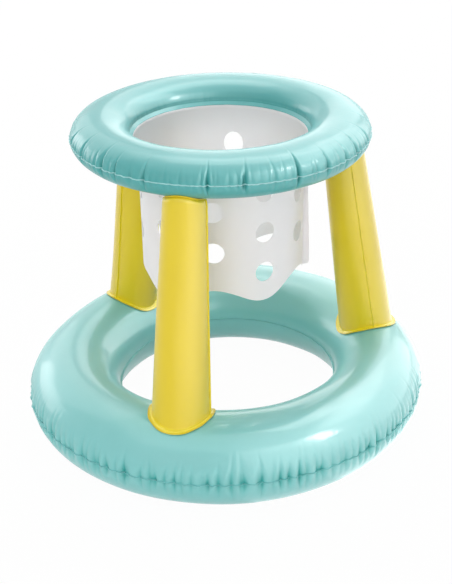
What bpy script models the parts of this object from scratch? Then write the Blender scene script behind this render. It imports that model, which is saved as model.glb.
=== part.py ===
"""Floating basketball hoop: an inflated base ring, three inflated legs, a hoop ring and a hanging net.

Metres, +Z up. The origin is on the floor, on the axis that both rings share. The front leg stands
towards -Y and both air valves are at the back, towards +Y.

Every ring is two film panels, an upper and a lower one, welded along the outer and inner equator.
Every leg is two film panels welded along its sides. Film is modelled thicker than it is.
"""

import math

import bmesh
import bpy
from mathutils import Matrix, Vector

# Rings: the tube's centre line, its half width and half height, and the weld fins at the equators
BASE_CENTRE_RADIUS = 0.2595
BASE_HALF_WIDTH = 0.0733
BASE_HALF_HEIGHT = 0.0699
BASE_REST_WIDTH = 0.024
BASE_OUTER_FIN = 0.0022
BASE_INNER_FIN = 0.0020
HOOP_CENTRE_RADIUS = 0.1877
HOOP_HALF_WIDTH = 0.0462
HOOP_HALF_HEIGHT = 0.0324
HOOP_CENTRE_HEIGHT = 0.5053
HOOP_OUTER_FIN = 0.0025
HOOP_INNER_FIN = 0.0045

# Film and the clearances between pieces
FILM_THICKNESS = 0.0005
WELD_GAP = 0.0003
SEAT_GAP = 0.0005
CUT_OVERRUN = 0.006

# Legs: the axis runs from the base ring's centre height to the hoop ring's centre height
LEG_NAMES = ("front", "right", "left")
FRONT_LEG_ANGLE = math.radians(-90)
LEG_FOOT_OFFSET = 0.0019
LEG_HEAD_OFFSET = 0.0067
LEG_FOOT_RADIUS = 0.0483
LEG_HEAD_RADIUS = 0.0309
LEG_SEAM_FIN = 0.0018
LEG_SHOULDER_DEPTH = 0.0038
LEG_SHOULDER_LENGTH = 0.0080
PORT_RADIUS = 0.0060

# Collars: the bands that weld a leg to a ring
FOOT_COLLAR_WIDTH = 0.0062
HEAD_COLLAR_WIDTH = 0.0036
COLLAR_THICKNESS = 0.0007
COLLAR_LAP = 0.0030
FOOT_COLLAR_LIP = 0.0011

# Net: radii are measured inwards from the hoop ring's inner equator
NET_THICKNESS = 0.0005
NET_THROAT_INSET = 0.0050
NET_WAIST_INSET = 0.0103
NET_WAIST_DROP = 0.0550
NET_HEM_INSET = 0.0122
NET_HEM_DROP = 0.2283
NET_HEM_WAVE = 0.0135
NET_LOBES = 5
NET_FIRST_COLUMN_ANGLE = math.radians(-79.75)
HOLE_RADIUS = 0.0165
HOLE_PITCH = 0.0668
SHORT_COLUMN_DROP = 0.0843
LONG_COLUMN_DROP = 0.0590
SHORT_COLUMN_HOLES = 2
LONG_COLUMN_HOLES = 3
NET_SEAM_ANGLE = math.radians(10.25)
NET_SEAM_TOP_WIDTH = 0.0070
NET_SEAM_HEM_WIDTH = 0.0110
NET_SEAM_TOP_DROP = 0.0500
NET_SEAM_HEM_DROP = 0.2170

# Valves: heights along the axis are measured from the ring's skin, positive outwards
VALVE_ANGLE = math.radians(90)
BASE_VALVE_TILT = math.radians(40)
HOOP_VALVE_TILT = math.radians(35)
FLANGE_RADIUS = 0.0155
FLANGE_THICKNESS = 0.0008
WELL_RADIUS = 0.0102
WELL_FOOT_RADIUS = 0.0086
WELL_RIM_HEIGHT = 0.0004
WELL_DEPTH = 0.0130
MEMBRANE_THICKNESS = 0.00045
STEM_RADIUS = 0.0055
STEM_BORE_RADIUS = 0.0039
STEM_TOP_DEPTH = 0.0010
STEM_FOOT_RADIUS = 0.0068
STEM_FOOT_THICKNESS = 0.0008
PLUG_HEAD_RADIUS = 0.0067
PLUG_HEAD_THICKNESS = 0.0018
PLUG_PIN_LENGTH = 0.0065
PLUG_PIN_TAPER = 0.0006
STRAP_WIDTH = 0.0030
STRAP_THICKNESS = 0.0007
STRAP_TOP_DEPTH = 0.0020
STRAP_LOOP_DEPTH = 0.0075
FLAP_THICKNESS = 0.0006
FLAP_OVERLAP = 0.0006
FLAP_HINGE_OFFSET = 0.0052
FLAP_TAB_WIDTH = 0.0040

# How finely round shapes are divided
RING_SEGMENTS = 48
BASE_TUBE_STEPS = 8
HOOP_TUBE_STEPS = 8
LEG_STEPS = 12
COLLAR_SEGMENTS = 32
SHOULDER_STEPS = 3
NET_SEGMENTS = 60
HOLE_SIDES = 14
PORT_SIDES = 12
VALVE_SIDES = 18
STRAP_BEND_STEPS = 4
SOLVER_STEPS = 40
SHARP_ANGLE = math.radians(35)

# Finishes: colour, roughness and metallic value
AQUA_FILM = ("aqua_film", (0.340, 0.665, 0.650, 1.0), 0.28, 0.0)
YELLOW_FILM = ("yellow_film", (0.730, 0.560, 0.045, 1.0), 0.34, 0.0)
WHITE_FILM = ("white_film", (0.800, 0.790, 0.790, 1.0), 0.45, 0.0)
CLEAR_VINYL = ("valve_vinyl", (0.720, 0.780, 0.780, 1.0), 0.35, 0.0)


class Ring:
    """An inflated ring: an oval tube section carried round the Z axis."""

    def __init__(self, centre_radius, half_width, half_height, centre_height):
        self.centre_radius = centre_radius
        self.half_width = half_width
        self.half_height = half_height
        self.centre_height = centre_height

    def section_point(self, tube_angle, offset=0.0):
        """Radius and height at an angle round the tube, 0 being its outermost point."""
        return (
            self.centre_radius + (self.half_width + offset) * math.cos(tube_angle),
            self.centre_height + (self.half_height + offset) * math.sin(tube_angle),
        )

    def outside(self, point, offset):
        """More than zero outside the skin that is offset outwards, less inside it."""
        across = math.hypot(point.x, point.y) - self.centre_radius
        up = point.z - self.centre_height
        return math.hypot(
            across / (self.half_width + offset), up / (self.half_height + offset)
        ) - 1

    def seat(self, point, offset):
        """Move a point near the skin straight out from the tube's centre line, onto the offset skin."""
        radius = math.hypot(point.x, point.y)
        across = (radius - self.centre_radius) / self.half_width
        up = (point.z - self.centre_height) / self.half_height
        seated_radius, height = self.section_point(math.atan2(up, across), offset)
        return Vector((point.x / radius * seated_radius, point.y / radius * seated_radius, height))

    def meet(self, start, direction, offset):
        """Where a line that starts inside the tube leaves the offset skin."""
        inside = 0.0
        beyond = 2 * (self.half_width + self.half_height)
        for _ in range(SOLVER_STEPS):
            middle = (inside + beyond) / 2
            if self.outside(start + direction * middle, offset) > 0:
                beyond = middle
            else:
                inside = middle
        return start + direction * beyond


def base_centre_height():
    """Height at which the base tube is cut flat by the floor over its rest width."""
    half_rest_share = BASE_REST_WIDTH / 2 / BASE_HALF_WIDTH
    return BASE_HALF_HEIGHT * math.sqrt(1 - half_rest_share**2)


BASE = Ring(BASE_CENTRE_RADIUS, BASE_HALF_WIDTH, BASE_HALF_HEIGHT, base_centre_height())
HOOP = Ring(HOOP_CENTRE_RADIUS, HOOP_HALF_WIDTH, HOOP_HALF_HEIGHT, HOOP_CENTRE_HEIGHT)
HOOP_INNER_RADIUS = HOOP_CENTRE_RADIUS - HOOP_HALF_WIDTH


def material(finish):
    """The Principled material of a finish, made once."""
    name, colour, roughness, metallic = finish
    found = bpy.data.materials.get(name)
    if found:
        return found
    made = bpy.data.materials.new(name)
    made.use_nodes = True
    shader = made.node_tree.nodes["Principled BSDF"]
    shader.inputs["Base Color"].default_value = colour
    shader.inputs["Roughness"].default_value = roughness
    shader.inputs["Metallic"].default_value = metallic
    return made


def add_object(name, points, faces, finish=None):
    """A closed, smooth-shaded object whose faces point outwards. Without a finish it is a cutter."""
    mesh = bpy.data.meshes.new(name)
    mesh.from_pydata([tuple(p) for p in points], [], faces)
    work = bmesh.new()
    work.from_mesh(mesh)
    bmesh.ops.recalc_face_normals(work, faces=work.faces)
    work.to_mesh(mesh)
    work.free()
    mesh.shade_smooth()
    mesh.set_sharp_from_angle(angle=SHARP_ANGLE)
    made = bpy.data.objects.new(name, mesh)
    bpy.context.collection.objects.link(made)
    if finish:
        mesh.materials.append(material(finish))
    else:
        made.hide_render = True
        made.display_type = "WIRE"
    return made


def loop_faces(rows, columns, closed_rows):
    """Quads over a grid whose columns close on themselves, and whose rows do too if asked."""
    faces = []
    for row in range(rows if closed_rows else rows - 1):
        below = row * columns
        above = (row + 1) % rows * columns
        for column in range(columns):
            after = (column + 1) % columns
            faces.append((below + column, below + after, above + after, above + column))
    return faces


def turned(name, profile, segments, finish=None, height_change=None):
    """Turn a closed outline of radius and height pairs round the Z axis."""
    points = []
    for step in range(segments):
        angle = math.tau * step / segments
        for radius, height in profile:
            lift = height_change(angle, height) if height_change else 0.0
            points.append((radius * math.cos(angle), radius * math.sin(angle), height + lift))
    return add_object(name, points, loop_faces(segments, len(profile), True), finish)


def turned_solid(name, profile, segments, finish=None):
    """Turn an open outline, whose ends are on the axis, into a solid disc or pin."""
    inner = profile[1:-1]
    points = [(0.0, 0.0, profile[0][1]), (0.0, 0.0, profile[-1][1])]
    for step in range(segments):
        angle = math.tau * step / segments
        points += [(r * math.cos(angle), r * math.sin(angle), z) for r, z in inner]
    faces = []
    count = len(inner)
    for step in range(segments):
        here = 2 + step * count
        after = 2 + (step + 1) % segments * count
        faces.append((0, here, after))
        faces.append((1, after + count - 1, here + count - 1))
        for row in range(count - 1):
            faces.append((here + row, here + row + 1, after + row + 1, after + row))
    return add_object(name, points, faces, finish)


def extruded(name, outline, depth, ribbon):
    """A flat outline in X and Y with a depth centred on Z. A ribbon's ends are split into quads."""
    count = len(outline)
    points = [(x, y, -depth / 2) for x, y in outline] + [(x, y, depth / 2) for x, y in outline]
    faces = [(n, (n + 1) % count, count + (n + 1) % count, count + n) for n in range(count)]
    for first in (0, count):
        if ribbon:
            for step in range(count // 2 - 1):
                opposite = first + count - 1 - step
                faces.append((first + step, first + step + 1, opposite - 1, opposite))
        else:
            faces.append(tuple(range(first, first + count)))
    return add_object(name, points, faces, CLEAR_VINYL)


def cylinders(name, places, radius, sides):
    """One cutter of several closed cylinders, each from a start point to an end point."""
    work = bmesh.new()
    for start, end in places:
        run = end - start
        turn = run.to_track_quat("Z", "Y").to_matrix().to_4x4()
        bmesh.ops.create_cone(
            work,
            cap_ends=True,
            segments=sides,
            radius1=radius,
            radius2=radius,
            depth=run.length,
            matrix=Matrix.Translation((start + end) / 2) @ turn,
        )
    mesh = bpy.data.meshes.new(name)
    work.to_mesh(mesh)
    work.free()
    made = bpy.data.objects.new(name, mesh)
    bpy.context.collection.objects.link(made)
    made.hide_render = True
    made.display_type = "WIRE"
    return made


def combine(target, tool, operation):
    """Cut a tool out of a target, or join the two."""
    modifier = target.modifiers.new(tool.name, "BOOLEAN")
    modifier.operation = operation
    modifier.solver = "EXACT"
    modifier.object = tool


def skin_profile(ring, side, tube_steps, outer_fin, inner_fin, rest_width=0.0):
    """Outline of one film panel, side 1 being the upper one: outer arc, inner fin, inner arc, outer fin.

    Both arcs step through the same tube angles, so the film keeps its thickness between them.
    A rest width flattens the outer arc's lowest stretch to that width.
    """
    near = side * WELD_GAP / 2
    far = near + side * FILM_THICKNESS
    outer_edge = ring.centre_radius + ring.half_width
    inner_edge = ring.centre_radius - ring.half_width
    start_angle = math.asin(abs(far) / ring.half_height)
    angles = [
        start_angle + (math.pi - 2 * start_angle) * step / tube_steps
        for step in range(tube_steps + 1)
    ]
    if rest_width:
        half_angle = math.asin(rest_width / 2 / ring.half_width)
        middle = tube_steps // 2
        angles[middle:middle + 1] = [math.pi / 2 - half_angle, math.pi / 2 + half_angle]
    outer_arc = [ring.section_point(side * angle) for angle in angles]
    inner_arc = [ring.section_point(side * angle, -FILM_THICKNESS) for angle in angles]
    level = ring.centre_height
    inner_arc[0] = (outer_edge - FILM_THICKNESS, level + near)
    inner_arc[-1] = (inner_edge + FILM_THICKNESS, level + near)
    return (
        [(outer_edge + outer_fin, level + near), (outer_edge + outer_fin, level + far)]
        + outer_arc
        + [(inner_edge - inner_fin, level + far), (inner_edge - inner_fin, level + near)]
        + inner_arc[::-1]
    )


def film_panel(name, ring, side, tube_steps, outer_fin, inner_fin, rest_width=0.0):
    """The upper or the lower film panel of a ring."""
    profile = skin_profile(ring, side, tube_steps, outer_fin, inner_fin, rest_width)
    return turned(name, profile, RING_SEGMENTS, AQUA_FILM)


class Leg:
    """A tapered air leg that leans inwards from the base ring to the hoop ring."""

    def __init__(self, name, angle):
        self.name = name
        self.outward = Vector((math.cos(angle), math.sin(angle), 0))
        self.sideways = Vector((-math.sin(angle), math.cos(angle), 0))
        foot_radius = BASE_CENTRE_RADIUS + LEG_FOOT_OFFSET
        head_radius = HOOP_CENTRE_RADIUS + LEG_HEAD_OFFSET
        self.foot = self.outward * foot_radius + Vector((0, 0, BASE.centre_height))
        self.head = self.outward * head_radius + Vector((0, 0, HOOP.centre_height))
        self.along = (self.head - self.foot).normalized()
        self.across = self.sideways.cross(self.along).normalized()
        self.length = (self.head - self.foot).length
        self.taper = (LEG_HEAD_RADIUS - LEG_FOOT_RADIUS) / self.length

    def beside(self, distance, across, sideways):
        """The point at a distance up the axis and two steps away from it."""
        return self.foot + self.along * distance + self.across * across + self.sideways * sideways

    def axis_distance(self, point):
        """How far up the axis a point lies."""
        return (point - self.foot).dot(self.along)

    def radius(self, distance):
        """The leg's radius at a distance up its axis."""
        return LEG_FOOT_RADIUS + self.taper * distance

    def foot_point(self, turn, inset, offset):
        """Where the leg's side, moved in by the inset, meets the base ring's offset skin."""
        reach = LEG_FOOT_RADIUS - inset
        start = self.beside(0, reach * math.cos(turn), reach * math.sin(turn))
        top_reach = LEG_HEAD_RADIUS - inset
        end = self.beside(self.length, top_reach * math.cos(turn), top_reach * math.sin(turn))
        return BASE.meet(start, (end - start).normalized(), offset)

    def head_point(self, turn, inset, offset):
        """Where a line beside the axis, as wide as the shoulder's top, meets the hoop's offset skin."""
        reach = LEG_HEAD_RADIUS - LEG_SHOULDER_DEPTH - inset
        start = self.beside(self.length, reach * math.cos(turn), reach * math.sin(turn))
        return HOOP.meet(start, -self.along, offset)

    def side_row(self, turn, inset):
        """Points up the leg's side at one turn angle: foot, rise and rounded shoulder."""
        seat = COLLAR_THICKNESS + 2 * SEAT_GAP
        foot = self.foot_point(turn, inset, seat)
        head = self.head_point(turn, inset, seat)
        top = self.axis_distance(head)
        shoulder_start = top - LEG_SHOULDER_LENGTH
        row = [foot]
        for step in range(SHOULDER_STEPS + 1):
            bend = math.pi / 2 * step / SHOULDER_STEPS
            distance = shoulder_start + LEG_SHOULDER_LENGTH * math.sin(bend)
            full = self.radius(shoulder_start) - inset
            narrow = LEG_HEAD_RADIUS - LEG_SHOULDER_DEPTH - inset
            reach = narrow + (full - narrow) * math.cos(bend)
            row.append(self.beside(distance, reach * math.cos(turn), reach * math.sin(turn)))
        return row

    def seam_row(self, row, side, lift, reach_out):
        """A side row moved onto the seam plane: out along the fin and up from the seam."""
        moved = []
        for point in row:
            distance = self.axis_distance(point)
            away = (point - self.foot).dot(self.sideways) * side
            moved.append(self.beside(distance, lift, side * (away + reach_out)))
        return moved

    def panel(self, side):
        """The outer film panel for side 1, the inner one for side -1, with its two seam fins."""
        near = side * WELD_GAP / 2
        far = near + side * FILM_THICKNESS
        facing = 0 if side > 0 else math.pi
        edge = math.asin(abs(far) / LEG_HEAD_RADIUS)
        turns = [
            facing - math.pi / 2 + edge + (math.pi - 2 * edge) * step / LEG_STEPS
            for step in range(LEG_STEPS + 1)
        ]
        outer = [self.side_row(turn, 0) for turn in turns]
        inner = [self.side_row(turn, FILM_THICKNESS) for turn in turns]
        first, last = -side, side
        start_seam = self.side_row(first * math.pi / 2, 0)
        end_seam = self.side_row(last * math.pi / 2, 0)
        columns = (
            [self.seam_row(start_seam, first, near, LEG_SEAM_FIN)]
            + [self.seam_row(start_seam, first, far, LEG_SEAM_FIN)]
            + outer
            + [self.seam_row(end_seam, last, far, LEG_SEAM_FIN)]
            + [self.seam_row(end_seam, last, near, LEG_SEAM_FIN)]
            + [self.seam_row(end_seam, last, near, -FILM_THICKNESS)]
            + inner[-2:0:-1]
            + [self.seam_row(start_seam, first, near, -FILM_THICKNESS)]
        )
        count = len(columns)
        rows = len(columns[0])
        points = [columns[column][row] for row in range(rows) for column in range(count)]
        faces = loop_faces(rows, count, False)
        for row in (0, rows - 1):
            faces += self.end_faces(row * count, count)
        word = "outer" if side > 0 else "inner"
        return add_object(f"leg_{self.name}_{word}_panel", points, faces, YELLOW_FILM)

    def end_faces(self, first, count):
        """Quads that close a panel's end, between its outer and its inner columns."""
        faces = [(first, first + 1, first + 2, first + count - 1)]
        for step in range(2, LEG_STEPS + 2):
            faces.append((first + step, first + step + 1, first + count - step, first + count + 1 - step))
        last_outer = first + LEG_STEPS + 2
        faces.append((last_outer, last_outer + 1, last_outer + 2, last_outer + 3))
        return faces

    def collar(self, ring, place, point_at, width, lip):
        """A band that lies on a ring's skin round the leg's end, from under its film outwards."""
        points = []
        for step in range(COLLAR_SEGMENTS):
            turn = math.tau * step / COLLAR_SEGMENTS
            inner = point_at(turn, COLLAR_LAP, 0.0)
            outer = point_at(turn, 0.0, 0.0)
            outward = (outer - inner).normalized()
            edge = outer + outward * width
            bottom = SEAT_GAP
            top = SEAT_GAP + COLLAR_THICKNESS
            points += [
                ring.seat(inner, bottom),
                ring.seat((outer + edge) / 2, bottom),
                ring.seat(edge, bottom + lip),
                ring.seat(edge, top + lip),
                ring.seat((outer + edge) / 2, top),
                ring.seat(inner, top),
            ]
        faces = loop_faces(COLLAR_SEGMENTS, 6, True)
        return add_object(f"leg_{self.name}_{place}_collar", points, faces, YELLOW_FILM)

    def build(self):
        """Both panels and both collars."""
        self.panel(1)
        self.panel(-1)
        self.collar(BASE, "foot", self.foot_point, FOOT_COLLAR_WIDTH, FOOT_COLLAR_LIP)
        self.collar(HOOP, "head", self.head_point, HEAD_COLLAR_WIDTH, 0.0)

    def port(self):
        """The two ends of the breathing port's cutter, through the base ring's upper film."""
        centre = BASE.meet(self.foot, self.along, 0.0)
        return centre - self.along * CUT_OVERRUN, centre + self.along * CUT_OVERRUN


def net_radius(drop):
    """The net's outer radius at a drop below the hoop ring's centre height."""
    throat = HOOP_INNER_RADIUS - NET_THROAT_INSET
    waist = HOOP_INNER_RADIUS - NET_WAIST_INSET
    hem = HOOP_INNER_RADIUS - NET_HEM_INSET
    if drop < NET_WAIST_DROP:
        return throat + (waist - throat) * drop / NET_WAIST_DROP
    return waist + (hem - waist) * (drop - NET_WAIST_DROP) / (NET_HEM_DROP - NET_WAIST_DROP)


def hem_lift(angle):
    """How far the scalloped hem rises above its mean height."""
    return NET_HEM_WAVE * math.cos(NET_LOBES * (angle - NET_FIRST_COLUMN_ANGLE))


def net_hole_places():
    """Start and end of each hole's cutter: long and short columns of holes take turns."""
    places = []
    columns = 2 * NET_LOBES
    for column in range(columns):
        short = column % 2 == 0
        angle = NET_FIRST_COLUMN_ANGLE + math.tau * column / columns
        outward = Vector((math.cos(angle), math.sin(angle), 0))
        first_drop = SHORT_COLUMN_DROP if short else LONG_COLUMN_DROP
        for hole in range(SHORT_COLUMN_HOLES if short else LONG_COLUMN_HOLES):
            drop = first_drop + hole * HOLE_PITCH
            level = Vector((0, 0, HOOP_CENTRE_HEIGHT - drop))
            radius = net_radius(drop)
            places.append((
                outward * (radius - CUT_OVERRUN) + level,
                outward * (radius + CUT_OVERRUN) + level,
            ))
    return places


def net_seam_fin():
    """The upright seam's fin: two layers of film that stand out from the net's side."""
    half = Vector((-math.sin(NET_SEAM_ANGLE), math.cos(NET_SEAM_ANGLE), 0)) * NET_THICKNESS
    outward = Vector((math.cos(NET_SEAM_ANGLE), math.sin(NET_SEAM_ANGLE), 0))
    outline = []
    for drop, width in (
        (NET_SEAM_TOP_DROP, NET_SEAM_TOP_WIDTH),
        (NET_SEAM_HEM_DROP, NET_SEAM_HEM_WIDTH),
    ):
        height = Vector((0, 0, HOOP_CENTRE_HEIGHT - drop))
        root = outward * (net_radius(drop) - NET_THICKNESS / 2) + height
        outline.append((root, root + outward * (width + NET_THICKNESS / 2)))
    (top_root, top_edge), (hem_root, hem_edge) = outline
    corners = [top_root, top_edge, hem_edge, hem_root]
    points = [corner - half for corner in corners] + [corner + half for corner in corners]
    sides = [(n, (n + 1) % 4, 4 + (n + 1) % 4, 4 + n) for n in range(4)]
    return add_object("net_seam_fin_tool", points, sides + [(0, 1, 2, 3), (4, 5, 6, 7)])


def build_net():
    """The net: a lip welded under the hoop ring's inner fin, a throat, a tapered wall and a wavy hem."""
    lip_top = HOOP_CENTRE_HEIGHT - WELD_GAP / 2 - FILM_THICKNESS - WELD_GAP
    lip_radius = HOOP_INNER_RADIUS - SEAT_GAP - WELD_GAP
    throat_radius = HOOP_INNER_RADIUS - NET_THROAT_INSET
    waist = (net_radius(NET_WAIST_DROP), HOOP_CENTRE_HEIGHT - NET_WAIST_DROP)
    hem = (net_radius(NET_HEM_DROP), HOOP_CENTRE_HEIGHT - NET_HEM_DROP)
    profile = [
        (throat_radius - NET_THICKNESS, lip_top),
        (lip_radius, lip_top),
        (lip_radius, lip_top - NET_THICKNESS),
        (throat_radius, lip_top - NET_THICKNESS),
        waist,
        hem,
        (hem[0] - NET_THICKNESS, hem[1]),
        (waist[0] - NET_THICKNESS, waist[1]),
    ]

    def hem_only(angle, height):
        """Lift the hem's own points and leave the rest of the profile level."""
        return hem_lift(angle) if height == hem[1] else 0.0

    net = turned("net_sheet", profile, NET_SEGMENTS, WHITE_FILM, hem_only)
    combine(net, net_seam_fin(), "UNION")
    combine(net, cylinders("net_hole_cutter", net_hole_places(), HOLE_RADIUS, HOLE_SIDES), "DIFFERENCE")


class Valve:
    """A push-in air valve on the back of a ring, built along its own axis."""

    def __init__(self, name, ring, tilt):
        self.name = name
        self.ring = ring
        out = Vector((math.cos(VALVE_ANGLE), math.sin(VALVE_ANGLE), 0))
        side = Vector((-math.sin(VALVE_ANGLE), math.cos(VALVE_ANGLE), 0))
        radius, height = ring.section_point(tilt)
        self.origin = out * radius + Vector((0, 0, height))
        leaning = out * (math.cos(tilt) / ring.half_width)
        rising = Vector((0, 0, math.sin(tilt) / ring.half_height))
        self.axis = (leaning + rising).normalized()
        third = self.axis.cross(side)
        self.frame = Matrix((side, third, self.axis)).transposed().to_4x4()
        self.frame.translation = self.origin

    def place(self, made, parent=None, offset=None):
        """Put a piece that was built along +Z onto the valve's axis, under its parent."""
        shift = Matrix.Translation(offset) if offset else Matrix.Identity(4)
        if parent:
            made.parent = parent
            made.matrix_local = shift
        else:
            made.matrix_world = self.frame @ shift

    def hole(self):
        """Ends of the cutter that opens the ring's film for the well."""
        return self.origin - self.axis * CUT_OVERRUN, self.origin + self.axis * CUT_OVERRUN

    def flange(self):
        """A ring that follows the film's curve, with the well's mouth in its middle."""
        points = []
        bottom = SEAT_GAP
        top = SEAT_GAP + FLANGE_THICKNESS
        for step in range(VALVE_SIDES):
            turn = math.tau * step / VALVE_SIDES
            for radius, offset in (
                (WELL_RADIUS, bottom),
                (FLANGE_RADIUS, bottom),
                (FLANGE_RADIUS, top),
                (WELL_RADIUS, top),
            ):
                across = Vector((radius * math.cos(turn), radius * math.sin(turn), -WELL_DEPTH))
                points.append(self.ring.meet(self.frame @ across, self.axis, offset))
        add_object(f"{self.name}_valve_flange", points, loop_faces(VALVE_SIDES, 4, True), CLEAR_VINYL)

    def membrane(self, parent):
        """The well's rolled wall, from the flange's mouth down to the stem's foot."""
        mouth = WELL_RADIUS - WELD_GAP
        neck = STEM_RADIUS + WELD_GAP
        profile = [
            (mouth, WELL_RIM_HEIGHT),
            (mouth, -FLANGE_THICKNESS - SEAT_GAP),
            (WELL_FOOT_RADIUS, -WELL_DEPTH + MEMBRANE_THICKNESS),
            (WELL_FOOT_RADIUS - MEMBRANE_THICKNESS, -WELL_DEPTH - MEMBRANE_THICKNESS),
            (neck, -WELL_DEPTH - MEMBRANE_THICKNESS),
            (neck, -WELL_DEPTH),
            (WELL_FOOT_RADIUS - 2 * MEMBRANE_THICKNESS, -WELL_DEPTH),
            (mouth - MEMBRANE_THICKNESS, -FLANGE_THICKNESS - SEAT_GAP),
            (mouth - MEMBRANE_THICKNESS, WELL_RIM_HEIGHT),
        ]
        made = turned(f"{self.name}_valve_membrane", profile, VALVE_SIDES, CLEAR_VINYL)
        self.place(made, parent)

    def stem_foot(self):
        """Height of the stem's inner end, just under the membrane."""
        return -WELL_DEPTH - MEMBRANE_THICKNESS - WELD_GAP - STEM_FOOT_THICKNESS

    def stem(self, parent):
        """The tube that is blown into, with a foot ring under the membrane."""
        foot = self.stem_foot()
        profile = [
            (STEM_BORE_RADIUS, -STEM_TOP_DEPTH),
            (STEM_RADIUS, -STEM_TOP_DEPTH),
            (STEM_RADIUS, foot + STEM_FOOT_THICKNESS),
            (STEM_FOOT_RADIUS, foot + STEM_FOOT_THICKNESS),
            (STEM_FOOT_RADIUS, foot),
            (STEM_BORE_RADIUS, foot),
        ]
        made = turned(f"{self.name}_valve_stem", profile, VALVE_SIDES, CLEAR_VINYL)
        self.place(made, parent)
        return made

    def plug(self, parent):
        """The cap that sits on the stem, with its tapered pin in the bore."""
        seat = -STEM_TOP_DEPTH + WELD_GAP
        pin = STEM_BORE_RADIUS - WELD_GAP
        profile = [
            (0.0, seat + PLUG_HEAD_THICKNESS),
            (PLUG_HEAD_RADIUS - STRAP_THICKNESS, seat + PLUG_HEAD_THICKNESS),
            (PLUG_HEAD_RADIUS, seat + PLUG_HEAD_THICKNESS - STRAP_THICKNESS),
            (PLUG_HEAD_RADIUS, seat),
            (pin, seat),
            (pin - PLUG_PIN_TAPER, seat - PLUG_PIN_LENGTH),
            (0.0, seat - PLUG_PIN_LENGTH),
        ]
        made = turned_solid(f"{self.name}_valve_plug", profile, VALVE_SIDES, CLEAR_VINYL)
        self.place(made, parent)

    def strap(self, parent):
        """A flat strap that runs down the stem's side, turns back and rises to the plug's rim."""
        stem_run = STEM_RADIUS + WELD_GAP + STRAP_THICKNESS / 2
        plug_run = PLUG_HEAD_RADIUS + WELD_GAP + STRAP_THICKNESS / 2
        bend = (plug_run - stem_run) / 2
        top = PLUG_HEAD_THICKNESS - STEM_TOP_DEPTH
        outer = [(stem_run, -STRAP_TOP_DEPTH, 1, 0)]
        for step in range(STRAP_BEND_STEPS + 1):
            turn = math.pi * step / STRAP_BEND_STEPS
            x = stem_run + bend * (1 - math.cos(turn))
            z = -STRAP_LOOP_DEPTH - bend * math.sin(turn)
            outer.append((x, z, math.cos(turn), math.sin(turn)))
        outer.append((plug_run, top, -1, 0))
        half = STRAP_THICKNESS / 2
        outline = [(x - half * nx, z - half * nz) for x, z, nx, nz in outer]
        outline += [(x + half * nx, z + half * nz) for x, z, nx, nz in outer[::-1]]
        made = extruded(f"{self.name}_valve_strap", outline, STRAP_WIDTH, True)
        made.data.transform(Matrix.Rotation(math.pi / 2, 4, "X"))
        self.place(made, parent)

    def flap(self, parent):
        """The check flap under the bore, with a tab to its hinge. Its origin is on the hinge."""
        radius = STEM_BORE_RADIUS + FLAP_OVERLAP
        tab = math.asin(FLAP_TAB_WIDTH / 2 / radius)
        outline = [(FLAP_HINGE_OFFSET, FLAP_TAB_WIDTH / 2)]
        for step in range(VALVE_SIDES):
            turn = tab + (math.tau - 2 * tab) * step / (VALVE_SIDES - 1)
            outline.append((radius * math.cos(turn), radius * math.sin(turn)))
        outline.append((FLAP_HINGE_OFFSET, -FLAP_TAB_WIDTH / 2))
        made = extruded(f"{self.name}_valve_flap", outline, FLAP_THICKNESS, False)
        centre = Vector((-FLAP_HINGE_OFFSET, 0, -FLAP_THICKNESS / 2))
        made.data.transform(Matrix.Translation(centre))
        self.place(made, parent, Vector((FLAP_HINGE_OFFSET, 0, self.stem_foot() - WELD_GAP)))

    def build(self):
        """All pieces of the valve, the moving ones under an empty on the valve's axis."""
        axis = bpy.data.objects.new(f"{self.name}_valve_axis", None)
        bpy.context.collection.objects.link(axis)
        axis.matrix_world = self.frame
        self.flange()
        self.membrane(axis)
        self.stem(axis)
        self.plug(axis)
        self.strap(axis)
        self.flap(axis)


def clear_scene():
    """Remove whatever the scene holds."""
    for found in list(bpy.data.objects):
        bpy.data.objects.remove(found, do_unlink=True)


def build_rings(legs, valves):
    """The four film panels, the upper ones opened for the valves and the legs' breathing ports."""
    base_fins = (BASE_OUTER_FIN, BASE_INNER_FIN)
    hoop_fins = (HOOP_OUTER_FIN, HOOP_INNER_FIN)
    base_upper = film_panel("base_upper_skin", BASE, 1, BASE_TUBE_STEPS, *base_fins)
    film_panel("base_lower_skin", BASE, -1, BASE_TUBE_STEPS, *base_fins, BASE_REST_WIDTH)
    hoop_upper = film_panel("hoop_upper_skin", HOOP, 1, HOOP_TUBE_STEPS, *hoop_fins)
    film_panel("hoop_lower_skin", HOOP, -1, HOOP_TUBE_STEPS, *hoop_fins)
    ports = cylinders("base_port_cutter", [leg.port() for leg in legs], PORT_RADIUS, PORT_SIDES)
    combine(base_upper, ports, "DIFFERENCE")
    for valve, skin in zip(valves, (base_upper, hoop_upper)):
        cutter = cylinders(
            f"{valve.name}_valve_cutter", [valve.hole()], WELL_RADIUS + WELD_GAP, VALVE_SIDES
        )
        combine(skin, cutter, "DIFFERENCE")


def main():
    """Build every piece."""
    clear_scene()
    legs = [
        Leg(name, FRONT_LEG_ANGLE + math.tau * place / len(LEG_NAMES))
        for place, name in enumerate(LEG_NAMES)
    ]
    valves = [Valve("base", BASE, BASE_VALVE_TILT), Valve("hoop", HOOP, HOOP_VALVE_TILT)]
    build_rings(legs, valves)
    for leg in legs:
        leg.build()
    build_net()
    for valve in valves:
        valve.build()


main()
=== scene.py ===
"""Looks of the floating basketball hoop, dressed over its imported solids.

Metres, +Z up. Both rings share the Z axis. The front leg stands towards -Y and both air valves are at
the back, towards +Y. The camera stands a little to the right of the front leg.
"""

import logging
import math
from collections.abc import Callable
from dataclasses import dataclass, field, replace
from enum import Enum

import bmesh
import bpy
import numpy as np
from mathutils import Matrix, Vector


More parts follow.
